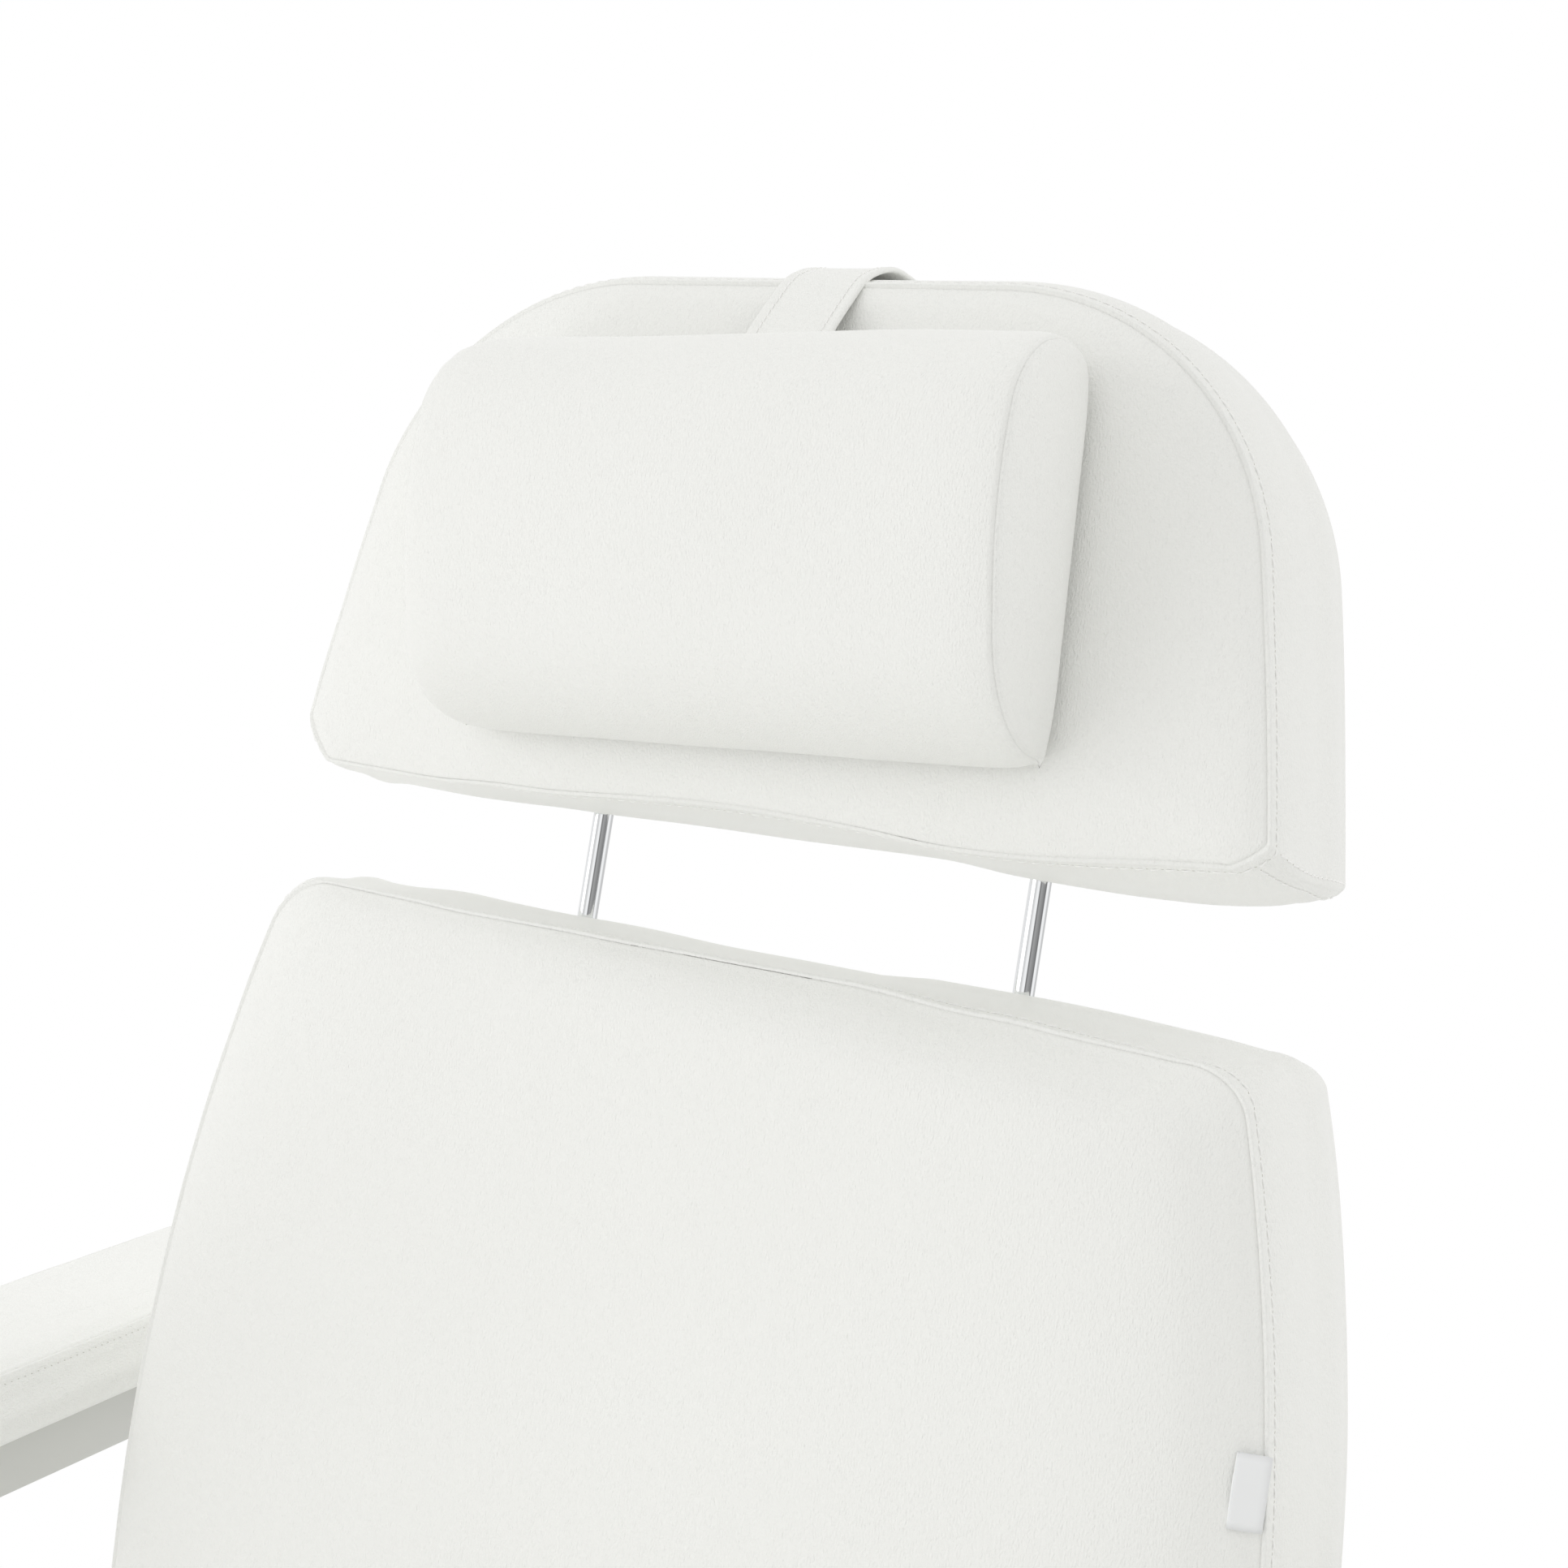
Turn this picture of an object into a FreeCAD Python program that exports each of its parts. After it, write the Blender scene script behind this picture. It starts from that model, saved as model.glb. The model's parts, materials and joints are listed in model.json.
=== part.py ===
import FreeCAD, Part
import math
import os
from FreeCAD import Placement, Rotation, Vector

# Treatment chair on a hydraulic foot pump: millimetres, Z up, the sitter faces -Y,
# the centre of the base lies on the floor at 0, 0, 0.

# Fits
skin_gap = 0.3          # free air between a padded cover and what it wraps
run_gap = 0.05          # radial running fit of pins, rods and the ram
plate_gap = 1.0         # side play between hinge plates
bolt_head = 1.8         # heads of bolts and pins, in radii of the shank
hinge_head = 1.5

# Drawn position, in degrees
back_lean = 18.3        # backrest from upright
leg_drop = 50.0         # legrest below level
arm_rise = 6.7          # armrest, front end up

# Base and pump
floor_pad_in = 26.0     # floor pad's edge inside the cover's
floor_pad_thick = 4.0
base_plate_in = 12.0    # base plate's edge inside the cover's
base_plate_thick = 8.0
cover_radius = 322.0
cover_rim = 12.0
cover_rise = 46.0
cover_wall = 2.0
cover_mid_out = 0.62    # middle of the cover's curve, as a part of its radius
cover_mid_up = 0.74     # and of its rise
flange_radius = 92.0
flange_thick = 10.0
housing_radius = 62.0
housing_height = 88.0
pump_bolt_circle = 78.0
pump_bolt_radius = 4.0
pump_bolt_count = 4
pump_bolt_head = 5.0
cylinder_radius = 42.0
cylinder_bore = 32.0
cylinder_length = 200.0
collar_radius = 46.0
collar_height = 10.0

# Foot pedal
pedal_reach = 392.0
pedal_width = 24.0
pedal_thick = 12.0
pedal_pivot_out = 22.0
pedal_pivot_drop = 16.0
pedal_pin_radius = 5.0
clevis_thick = 8.0
clevis_reach = 13.0
clevis_root = 10.0
pedal_pin_end = 3.0
grip_length = 74.0
grip_half_width = 31.0
grip_wall = 5.0

# Ram and swivel
ram_foot_gap = 10.0
ram_show = 20.0
spindle_radius = 20.0
spindle_depth = 180.0
washer_thick = 3.0
spindle_flange_radius = 45.0
spindle_flange_thick = 12.0
top_plate_half = 115.0
top_plate_thick = 8.0
plate_bolt_radius = 5.0
plate_bolt_head = 6.0
plate_bolt_depth = 16.0

# Seat
seat_front = -242.0
seat_rear = 227.0
seat_half = 276.0
seat_thick = 117.0
seat_crown = 10.0
seat_board_thick = 15.0
rail_width = 30.0
rail_height = 40.0
tube_wall = 2.5
inner_rail_x = 85.0
outer_rail_x = 200.0
front_bar_inset = 17.0
rear_bar_inset = 5.0

# Hinges of backrest and legrest
hinge_side_gap = 6.0    # arm plates beyond the widest pad end
hinge_plate = 6.0
hinge_pin_radius = 8.0
hinge_ahead = 44.0      # backrest's pivot ahead of the middle of its frame
leg_hinge_ahead = 30.0  # and the legrest's
hinge_overhang = 45.0   # pad beyond the pivot
hinge_swing = 60.0      # pivot from the end of the seat
hinge_tube_radius = 8.0
hinge_tube_bore = 5.5
hinge_tube_in = 20.0    # tube from the pivot, along the pad
arm_plate_width = 30.0
ear_width = 40.0
pin_head_thick = 4.0
cap_thick = 8.0
cap_round = 3.0

# Pads of backrest, headrest and legrest, measured from the middle of their frames
pad_back = 13.0         # back face
pad_seam = 82.0         # front seam
pad_crown = 8.0
leg_pad_seam = 66.0
leg_pad_crown = 10.0
band_bulge = 2.0        # band beyond the outline at mid thickness
pad_wall = 10.0         # cover and foam round the board's edge
band_roll = 0.12        # rounding at both edges of the band, as a part of its depth
seam_ease = 0.5         # part of the seam's inset reached where that rounding starts
crown_steps = ((0.45, 0.12), (0.75, 0.28), (0.93, 0.5), (1.0, 0.72))    # rise and distance in
board_back = 8.0
board_thick = 12.0
panel_thick = 3.0
back_length = 565.0
back_top_drop = 2.5     # top edge below the frame's zero line
back_in = 21.0          # narrower than the seat at each side
back_flare = 1.0
back_bow = 43.0
head_foot = 54.5        # lower edge above the top of the backrest
head_height = 255.5
head_flare = 0.5
head_half_top = 208.7
leg_length = 445.0
leg_taper = 9.0

# Headrest rods
rod_half = 119.3
rod_radius = 5.0
rod_foot = -150.0
rod_head = 190.0
guide_radius = 8.0
guide_bore = 6.5
guide_foot = -262.0
bush_length = 50.0
bracket_half = 150.0
bracket_foot = 80.0
bracket_height = 100.0

# Backrest frame and gas strut
upright_x = 150.0
upright_width = 16.0
upright_top = -30.0
cross_bar_height = 16.0
screw_radius = 2.0
screw_head_radius = 5.0
screw_head_thick = 2.5
screw_places = (-80.0, -200.0, -420.0)
strut_x = 142.5
strut_radius = 14.0
strut_bore = 11.0
strut_front = -165.0
strut_rear = 190.0
strut_rod_radius = 5.0
strut_rod_inside = 30.0
saddle_thick = 12.0
saddle_inset = 40.0
saddle_margin = 2.0
strut_cap = 8.0
slot_pin_end = 3.0
slot_margin = 2.0
lever_rest = 42.0       # lever behind plumb in the drawn position, degrees
lever_thick = 6.0
lever_spread = 8.0      # inner faces of the two lever plates from the strut's middle
lever_wall = 6.0
lever_neck = 15.0
slot_width = 18.6
slot_pin_radius = 5.0
slot_pin_shift = 5.17   # pin off the middle of the slot in the drawn position

# Armrests
arm_shaft_down = 294.0  # shaft below the top of the backrest
arm_shaft_back = 55.0   # shaft behind the middle of the frame
arm_shaft_radius = 12.5
shaft_bracket_half = 18.0
shaft_bracket_thick = 6.0
shaft_cap_radius = 13.0
shaft_cap_thick = 5.0
arm_journal_radius = 8.0
arm_x = 394.0
arm_half = 48.0
arm_pad_front = -485.0
arm_pad_rear = 60.0
arm_pad_thick = 39.0
arm_pad_crown = 6.0
beam_inset = 30.0       # beam's inner face inside the middle of the pad
beam_width = 30.0
beam_above = 15.0       # beam's top face above the shaft
beam_below = 22.0
beam_front = -466.0
beam_rear = 24.0
link_along = -323.0     # front link's pivot along the beam
link_below = -58.0      # and below it
link_thick = 6.0
link_width = 26.0
lug_wider = 2.0
link_pin_radius = 6.0
outrigger_height = 30.0

# Pillow and strap
pillow_half = 143.0
pillow_x = 5.0
pillow_foot = 87.5
pillow_tilt = 2.7
pillow_depth = 76.0
pillow_height = 174.0
pillow_steps = ((-1.0, 0.93), (-0.6, 1.02), (0.0, 1.06), (0.6, 1.02), (1.0, 0.93))    # place and depth
strap_half = 21.5
strap_x = -1.0
strap_thick = 3.0
strap_tail = 205.0
strap_front_turn = 20.0
strap_back_turn = 8.0

# Release lever and sewn tag
release_y = 100.0
release_out = 38.0      # knob beyond the seat's side
release_rod_radius = 5.0
release_rod_end = 6.0
knob_half = 8.0
knob_front = 78.0
knob_rear = 12.0
knob_rise = 9.0
knob_round = 6.0
tag_length = 29.0
tag_width = 13.0
tag_thick = 1.2
tag_down = 154.0
tag_lift = 26.0         # degrees off the face
tag_seat = 0.1
tag_along_bow = 0.63    # tag out on the bowed side, as a part of the bow

# Seams drawn in at the sides, the foot and the top
back_seam_in = (8.5, 10.0, 4.0)
head_seam_in = (8.5, 6.0, 11.0)
seat_seam_in = (10.0, 10.0, 10.0)
leg_seam_in = (12.0, 12.0, 12.0)
arm_seam_in = (3.0, 3.0, 3.0)
back_edge_in = 5.0      # rolled back edge

# Places across the chair that follow the pads
back_half_foot = seat_half - back_in
back_half_top = back_half_foot + back_flare
head_half_foot = back_half_top + head_flare
leg_half_foot = back_half_foot - leg_taper
hinge_arm_x = max(seat_half, back_half_top) + hinge_side_gap
release_x = seat_half + release_out
beam_inner_x = arm_x - beam_inset

# Heights of the stack under the seat
plate_top = floor_pad_thick + base_plate_thick
housing_top = plate_top + housing_height
cylinder_top = housing_top + cylinder_length
collar_top = cylinder_top + collar_height
ram_foot = housing_top + ram_foot_gap
ram_top = collar_top + ram_show
washer_top = ram_top + washer_thick
spindle_top = washer_top + spindle_flange_thick
rail_foot = spindle_top + top_plate_thick
rail_top = rail_foot + rail_height
rail_mid = rail_foot + rail_height / 2
seat_seam = rail_top + seat_thick
seat_top = seat_seam + seat_crown
pad_front = pad_seam + pad_crown
leg_front = leg_pad_seam + leg_pad_crown

# Pivots and the frames of the leaning assemblies
back_pivot = Vector(0, seat_rear + hinge_swing, seat_top - pad_front + hinge_ahead)
leg_pivot = Vector(0, seat_front - hinge_swing, seat_top - leg_front + leg_hinge_ahead)
hinge_v = hinge_overhang - back_length
back_turn = Rotation(Vector(1, 0, 0), 90 - back_lean)
back_origin = back_pivot - back_turn.multVec(Vector(0, hinge_v, hinge_ahead))
back_place = Placement(back_origin, back_turn)
leg_turn = Rotation(Vector(1, 0, 0), leg_drop)
leg_place = Placement(leg_pivot - leg_turn.multVec(Vector(0, -hinge_overhang, leg_hinge_ahead)), leg_turn)
arm_turn = Rotation(Vector(1, 0, 0), -arm_rise)
shaft_point = back_place.multVec(Vector(0, -arm_shaft_down, -arm_shaft_back))
link_top = shaft_point + arm_turn.multVec(Vector(0, link_along, link_below))
link_foot = back_pivot + link_top - shaft_point
arm_place = Placement(shaft_point, arm_turn)

solids = {}


def unit(p):
    length = math.hypot(p[0], p[1])
    return (p[0] / length, p[1] / length)


def circle_meet(a, ra, b, rb, near):
    """Crossing of two circles that lies nearer to a given point."""
    dx, dy = b[0] - a[0], b[1] - a[1]
    d = math.hypot(dx, dy)
    along = (d * d + ra * ra - rb * rb) / (2 * d)
    across = math.sqrt(max(ra * ra - along * along, 0.0))
    foot = (a[0] + along * dx / d, a[1] + along * dy / d)
    found = []
    for sign in (1, -1):
        found.append((foot[0] - sign * across * dy / d, foot[1] + sign * across * dx / d))
    return min(found, key=lambda p: math.hypot(p[0] - near[0], p[1] - near[1]))


def outline(shape, z):
    """Four bowed sides joined by tangent corner arcs, as one wire at height z."""
    corners = [(-shape["half_foot"], shape["foot"]), (shape["half_foot"], shape["foot"]),
               (shape["half_top"], shape["top"]), (-shape["half_top"], shape["top"])]
    bows = [shape["foot_bow"], shape["side_bow"], shape["top_bow"], shape["side_bow"]]
    radii = [shape["foot_radius"], shape["foot_radius"], shape["top_radius"], shape["top_radius"]]
    arcs = []
    for i in range(4):
        p, q = corners[i], corners[(i + 1) % 4]
        length = math.hypot(q[0] - p[0], q[1] - p[1])
        bow = bows[i]
        radius = (length * length / 4 + bow * bow) / (2 * bow)
        out = ((q[1] - p[1]) / length, -(q[0] - p[0]) / length)
        middle = ((p[0] + q[0]) / 2, (p[1] + q[1]) / 2)
        centre = (middle[0] - out[0] * (radius - bow), middle[1] - out[1] * (radius - bow))
        arcs.append((centre, radius))
    fillets = []
    for i in range(4):
        before, after = arcs[i - 1], arcs[i]
        r = radii[i]
        f = circle_meet(before[0], before[1] - r, after[0], after[1] - r, corners[i])
        ends = []
        for centre, radius in (before, after):
            d = unit((f[0] - centre[0], f[1] - centre[1]))
            ends.append((centre[0] + d[0] * radius, centre[1] + d[1] * radius))
        fillets.append((f, r, ends[0], ends[1]))
    edges = []
    for i in range(4):
        centre, radius = arcs[i]
        nxt = fillets[(i + 1) % 4]
        p, q = fillets[i][3], nxt[2]
        edges.append(arc_between(p, q, centre, radius, z))
        edges.append(arc_between(nxt[2], nxt[3], nxt[0], nxt[1], z))
    return Part.Wire(edges)


def arc_between(p, q, centre, radius, z):
    d = unit(((p[0] + q[0]) / 2 - centre[0], (p[1] + q[1]) / 2 - centre[1]))
    middle = Vector(centre[0] + d[0] * radius, centre[1] + d[1] * radius, z)
    return Part.Arc(Vector(p[0], p[1], z), middle, Vector(q[0], q[1], z)).toShape()


def inset(shape, side, foot, top):
    """The same outline drawn in by its own amount at the sides, the foot and the top."""
    s = dict(shape)
    s["foot"] += foot
    s["top"] -= top
    s["half_foot"] -= side
    s["half_top"] -= side
    long_scale = (s["top"] - s["foot"]) / (shape["top"] - shape["foot"])
    wide_scale = s["half_foot"] / shape["half_foot"]
    s["side_bow"] *= long_scale
    s["foot_bow"] *= wide_scale
    s["top_bow"] *= wide_scale
    shrink = min(long_scale, wide_scale)
    s["foot_radius"] *= shrink
    s["top_radius"] *= shrink
    return s


def cushion(shape, back, seam, crown, seam_in, bulge):
    """Boxed cushion: rolled back edge, bulging band, drawn-in seam and a crowned face."""
    side, foot, top = seam_in
    roll = band_roll * (seam - back)
    face = dict(shape, top_radius=shape.get("seam_radius", shape["top_radius"]))
    levels = [(shape, back, back_edge_in, back_edge_in, back_edge_in), (shape, back + roll, 0, 0, 0),
              (shape, (back + seam) / 2, -bulge, -bulge, -bulge),
              (face, seam - roll, seam_ease * side, seam_ease * foot, seam_ease * top),
              (face, seam, side, foot, top)]
    half = min(shape["half_top"], (shape["top"] - shape["foot"]) / 2)
    for rise, part in crown_steps:
        d = part * half
        levels.append((face, seam + rise * crown, side + d, foot + d, top + d))
    wires = []
    for level, z, s, f, t in levels:
        wires.append(outline(inset(level, s, f, t), z))
    return Part.makeLoft(wires, True, True)


def slab(shape, amount, z0, z1):
    face = Part.Face(outline(inset(shape, amount, amount, amount), z0))
    return face.extrude(Vector(0, 0, z1 - z0))


def rod_x(y, z, radius, x0, x1):
    return Part.makeCylinder(radius, x1 - x0, Vector(x0, y, z), Vector(1, 0, 0))


def rod_y(x, z, radius, y0, y1):
    return Part.makeCylinder(radius, y1 - y0, Vector(x, y0, z), Vector(0, 1, 0))


def rod_z(x, y, radius, z0, z1):
    return Part.makeCylinder(radius, z1 - z0, Vector(x, y, z0))


def box(x0, x1, y0, y1, z0, z1):
    return Part.makeBox(x1 - x0, y1 - y0, z1 - z0, Vector(x0, y0, z0))


def tube_x(x0, x1, y0, y1, z0, z1):
    return box(x0, x1, y0, y1, z0, z1).cut(
        box(x0, x1, y0 + tube_wall, y1 - tube_wall, z0 + tube_wall, z1 - tube_wall))


def tube_y(x0, x1, y0, y1, z0, z1):
    return box(x0, x1, y0, y1, z0, z1).cut(
        box(x0 + tube_wall, x1 - tube_wall, y0, y1, z0 + tube_wall, z1 - tube_wall))


def link_plate(p, q, width, x0, x1):
    """Round-ended plate between two points of the Y-Z plane, from x0 to x1."""
    d = unit((q[0] - p[0], q[1] - p[1]))
    r = width / 2
    side = (-d[1] * r, d[0] * r)

    def at(point, du, dv):
        return Vector(x0, point[0] + du, point[1] + dv)

    edges = [Part.makeLine(at(p, side[0], side[1]), at(q, side[0], side[1])),
             Part.Arc(at(q, side[0], side[1]), at(q, d[0] * r, d[1] * r),
                      at(q, -side[0], -side[1])).toShape(),
             Part.makeLine(at(q, -side[0], -side[1]), at(p, -side[0], -side[1])),
             Part.Arc(at(p, -side[0], -side[1]), at(p, -d[0] * r, -d[1] * r),
                      at(p, side[0], side[1])).toShape()]
    return Part.Face(Part.Wire(edges)).extrude(Vector(x1 - x0, 0, 0))


def mirrored(shape):
    return shape.mirror(Vector(0, 0, 0), Vector(1, 0, 0))


def both(shape):
    return [shape, mirrored(shape)]


def keep(name, shapes, place=None):
    parts = list(shapes) if isinstance(shapes, (list, tuple)) else [shapes]
    if place is not None:
        moved = []
        for s in parts:
            t = s.copy()
            t.Placement = place.multiply(t.Placement)
            moved.append(t)
        parts = moved
    solids[name] = parts[0] if len(parts) == 1 else Part.makeCompound(parts)


def yz(point):
    return (point.y, point.z)


def hexagon(x, y, radius, z0, z1):
    points = []
    for i in range(7):
        turn = math.radians(60 * i)
        points.append(Vector(x + radius * math.cos(turn), y + radius * math.sin(turn), z0))
    return Part.Face(Part.makePolygon(points)).extrude(Vector(0, 0, z1 - z0))


# Pad outlines: foot and top along the pad, half widths across it
back_shape = dict(foot=-back_length, top=-back_top_drop, half_foot=back_half_foot, half_top=back_half_top,
                  side_bow=back_bow, foot_bow=1.0, top_bow=0.5, foot_radius=45.0, top_radius=18.0,
                  seam_radius=34.0)
head_shape = dict(foot=head_foot, top=head_foot + head_height, half_foot=head_half_foot,
                  half_top=head_half_top, side_bow=4.0, foot_bow=0.6, top_bow=0.8,
                  foot_radius=14.0, top_radius=143.0)
seat_shape = dict(foot=seat_front, top=seat_rear, half_foot=seat_half, half_top=seat_half,
                  side_bow=12.0, foot_bow=1.5, top_bow=1.0, foot_radius=45.0, top_radius=40.0)
leg_shape = dict(foot=-leg_length, top=0.0, half_foot=leg_half_foot, half_top=back_half_foot,
                 side_bow=8.0, foot_bow=4.0, top_bow=1.0, foot_radius=60.0, top_radius=40.0)
arm_shape = dict(foot=arm_pad_front, top=arm_pad_rear, half_foot=arm_half, half_top=arm_half,
                 side_bow=1.5, foot_bow=9.0, top_bow=2.0, foot_radius=24.0, top_radius=14.0)

# Shared places across the chair
ear_x = hinge_arm_x + hinge_plate + plate_gap
link_x = beam_inner_x - plate_gap - link_thick
arm_ear_x = link_x - plate_gap - link_thick
front_bar = (seat_front + front_bar_inset, seat_front + front_bar_inset + rail_width)
rear_bar = (seat_rear - rear_bar_inset - rail_width, seat_rear - rear_bar_inset)
window = (inner_rail_x + rail_width / 2, outer_rail_x - rail_width / 2)
tube_v = hinge_v + hinge_tube_in
slot_drop = back_pivot.z - rail_mid
strut_pin_y = back_pivot.y + slot_drop * math.tan(math.radians(lever_rest)) - slot_pin_shift
head_top = head_foot + head_height


def base():
    keep("floor_pad", rod_z(0, 0, cover_radius - floor_pad_in, 0, floor_pad_thick))
    plate = rod_z(0, 0, cover_radius - base_plate_in, floor_pad_thick, plate_top)
    flange_top = plate_top + flange_thick
    px = housing_radius + pedal_pivot_out
    pz = housing_top - pedal_pivot_drop
    housing = rod_z(0, 0, flange_radius, plate_top, flange_top)
    housing = housing.fuse(rod_z(0, 0, housing_radius, plate_top, housing_top))
    for side in (-1, 1):
        inner = side * (pedal_width / 2 + plate_gap)
        outer = inner + side * clevis_thick
        housing = housing.fuse(box(housing_radius - clevis_root, px + clevis_reach, min(inner, outer),
                                   max(inner, outer), pz - clevis_reach, pz + clevis_reach))
    pin_half = pedal_width / 2 + plate_gap + clevis_thick + pedal_pin_end
    pin = rod_y(px, pz, pedal_pin_radius, -pin_half, pin_half)
    housing = housing.cut(pin)
    bolts = []
    for i in range(pump_bolt_count):
        turn = math.radians(360.0 * (i + 0.5) / pump_bolt_count)
        x, y = pump_bolt_circle * math.cos(turn), pump_bolt_circle * math.sin(turn)
        shank = rod_z(x, y, pump_bolt_radius, floor_pad_thick, flange_top)
        plate = plate.cut(shank)
        housing = housing.cut(shank)
        bolts.append(shank.fuse(hexagon(x, y, bolt_head * pump_bolt_radius, flange_top,
                                        flange_top + pump_bolt_head)))
    keep("base_plate", plate)
    keep("pump_housing", housing.removeSplitter())
    keep("pump_bolts", bolts)
    keep("pedal_pin", pin)
    z0 = floor_pad_thick
    shoulder = z0 + cover_rim
    crest = shoulder + cover_rise
    hole = housing_radius + 2 * skin_gap
    mid_r = cover_mid_out * cover_radius
    mid_z = shoulder + cover_mid_up * cover_rise
    inside = cover_radius - cover_wall

    def p(r, z):
        return Vector(r, 0, z)

    profile = [Part.makeLine(p(cover_radius, z0), p(cover_radius, shoulder)),
               Part.Arc(p(cover_radius, shoulder), p(mid_r, mid_z), p(hole, crest)).toShape(),
               Part.makeLine(p(hole, crest), p(hole, crest - cover_wall)),
               Part.Arc(p(hole, crest - cover_wall), p(mid_r, mid_z - cover_wall),
                        p(inside, shoulder - cover_wall)).toShape(),
               Part.makeLine(p(inside, shoulder - cover_wall), p(inside, z0)),
               Part.makeLine(p(inside, z0), p(cover_radius, z0))]
    keep("base_cover", Part.Face(Part.Wire(profile)).revolve(Vector(0, 0, 0), Vector(0, 0, 1), 360))
    bore = rod_z(0, 0, cylinder_bore, housing_top, collar_top)
    keep("pump_cylinder", rod_z(0, 0, cylinder_radius, housing_top, cylinder_top).cut(bore))
    keep("cylinder_collar", rod_z(0, 0, collar_radius, cylinder_top, collar_top).cut(bore))


def pedal():
    px = housing_radius + pedal_pivot_out
    pz = housing_top - pedal_pivot_drop
    half, thick = pedal_width / 2, pedal_thick / 2
    bar = box(px, pedal_reach, -half, half, pz - thick, pz + thick)
    hub = rod_y(px, pz, 2 * pedal_pin_radius, -half, half)
    bore = rod_y(px, pz, pedal_pin_radius + run_gap, -half, half)
    keep("pedal_lever", bar.fuse(hub).cut(bore).removeSplitter())
    grip = box(pedal_reach - grip_length, pedal_reach + grip_wall, -grip_half_width, grip_half_width,
               pz - thick - grip_wall, pz + thick + grip_wall)
    grip = grip.makeFillet(0.8 * grip_wall, grip.Edges)
    keep("pedal_grip", grip.cut(box(px, pedal_reach, -half, half, pz - thick, pz + thick)))


def ram_and_swivel():
    ram = rod_z(0, 0, cylinder_bore - run_gap, ram_foot, ram_top)
    keep("lift_ram", ram.cut(rod_z(0, 0, spindle_radius + run_gap, ram_foot, ram_top)))
    washer = rod_z(0, 0, cylinder_bore - plate_gap, ram_top, washer_top)
    keep("thrust_washer", washer.cut(rod_z(0, 0, spindle_radius + skin_gap, ram_top, washer_top)))
    spindle = rod_z(0, 0, spindle_radius, washer_top - spindle_depth, spindle_top)
    spindle = spindle.fuse(rod_z(0, 0, spindle_flange_radius, washer_top, spindle_top))
    keep("swivel_spindle", spindle.removeSplitter())


def plate_bolts():
    """Places of the four bolts that hold the top plate under the inner rails."""
    return [(sx * inner_rail_x, sy * inner_rail_x) for sx in (-1, 1) for sy in (-1, 1)]


def seat_frame():
    top = box(-top_plate_half, top_plate_half, -top_plate_half, top_plate_half, spindle_top, rail_foot)
    bolts = []
    for x, y in plate_bolts():
        shank = rod_z(x, y, plate_bolt_radius, spindle_top, rail_foot + plate_bolt_depth)
        top = top.cut(shank)
        bolts.append(shank.fuse(hexagon(x, y, bolt_head * plate_bolt_radius,
                                        spindle_top - plate_bolt_head, spindle_top)))
    keep("top_plate", top)
    keep("top_plate_bolts", bolts)
    rails = []
    for x in (-outer_rail_x, -inner_rail_x, inner_rail_x, outer_rail_x):
        rail = tube_y(x - rail_width / 2, x + rail_width / 2, front_bar[1], rear_bar[0],
                      rail_foot, rail_top)
        for bx, by in plate_bolts():
            if bx == x:
                rail = rail.cut(rod_z(bx, by, plate_bolt_radius, rail_foot, rail_foot + tube_wall))
        if x == outer_rail_x:
            rail = rail.cut(rod_x(release_y, rail_mid, release_rod_radius + run_gap, x, x + rail_width))
        rails.append(rail)
    keep("seat_rails", rails)
    outrigger = tube_x(outer_rail_x + rail_width / 2, arm_ear_x,
                       link_foot.y - rail_width / 2, link_foot.y + rail_width / 2,
                       rail_mid - outrigger_height / 2, rail_mid + outrigger_height / 2)
    keep("seat_crossbars", [tube_x(-ear_x, ear_x, front_bar[0], front_bar[1], rail_foot, rail_top),
                            tube_x(-ear_x, window[0], rear_bar[0], rear_bar[1], rail_foot, rail_top),
                            tube_x(window[1], ear_x, rear_bar[0], rear_bar[1], rail_foot, rail_top),
                            outrigger, mirrored(outrigger)])
    ears = []
    pins = []
    caps = []
    for bar, pivot in ((rear_bar, back_pivot), (front_bar, leg_pivot)):
        at = yz(pivot)
        pin = rod_x(at[0], at[1], hinge_pin_radius, hinge_arm_x - plate_gap, ear_x + hinge_plate)
        ear = link_plate(((bar[0] + bar[1]) / 2, rail_mid), at, ear_width, ear_x, ear_x + hinge_plate)
        ears += both(ear.cut(pin))
        outer = ear_x + hinge_plate
        head = rod_x(at[0], at[1], hinge_head * hinge_pin_radius, outer, outer + pin_head_thick)
        pins += both(pin.fuse(head).removeSplitter())
        cap = rod_x(at[0], at[1], ear_width / 2, outer, outer + cap_thick)
        cap = cap.makeFillet(cap_round, [e for e in cap.Edges if e.BoundBox.XMin > outer + cap_round])
        caps += both(cap.cut(rod_x(at[0], at[1], hinge_head * hinge_pin_radius + skin_gap,
                                   outer, outer + pin_head_thick + skin_gap)))
    foot = yz(link_foot)
    link_pin = rod_x(foot[0], foot[1], link_pin_radius, arm_ear_x, link_x + link_thick + skin_gap)
    ear = link_plate((foot[0], rail_mid), foot, link_width, arm_ear_x, arm_ear_x + link_thick)
    ears += both(ear.cut(link_pin))
    outer = link_x + link_thick + skin_gap
    head = rod_x(foot[0], foot[1], hinge_head * link_pin_radius, outer, outer + pin_head_thick)
    keep("frame_ears", ears)
    keep("hinge_pins", pins)
    keep("hinge_caps", caps)
    keep("link_pins", both(link_pin.fuse(head).removeSplitter()))


def seat_padding():
    keep("seat_board", slab(seat_shape, pad_wall, rail_top, rail_top + seat_board_thick))
    pad = cushion(seat_shape, rail_top, seat_seam, seat_crown, seat_seam_in, band_bulge)
    keep("seat_cushion", pad.cut(slab(seat_shape, pad_wall - skin_gap, rail_top,
                                      rail_top + seat_board_thick + skin_gap)))


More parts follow.
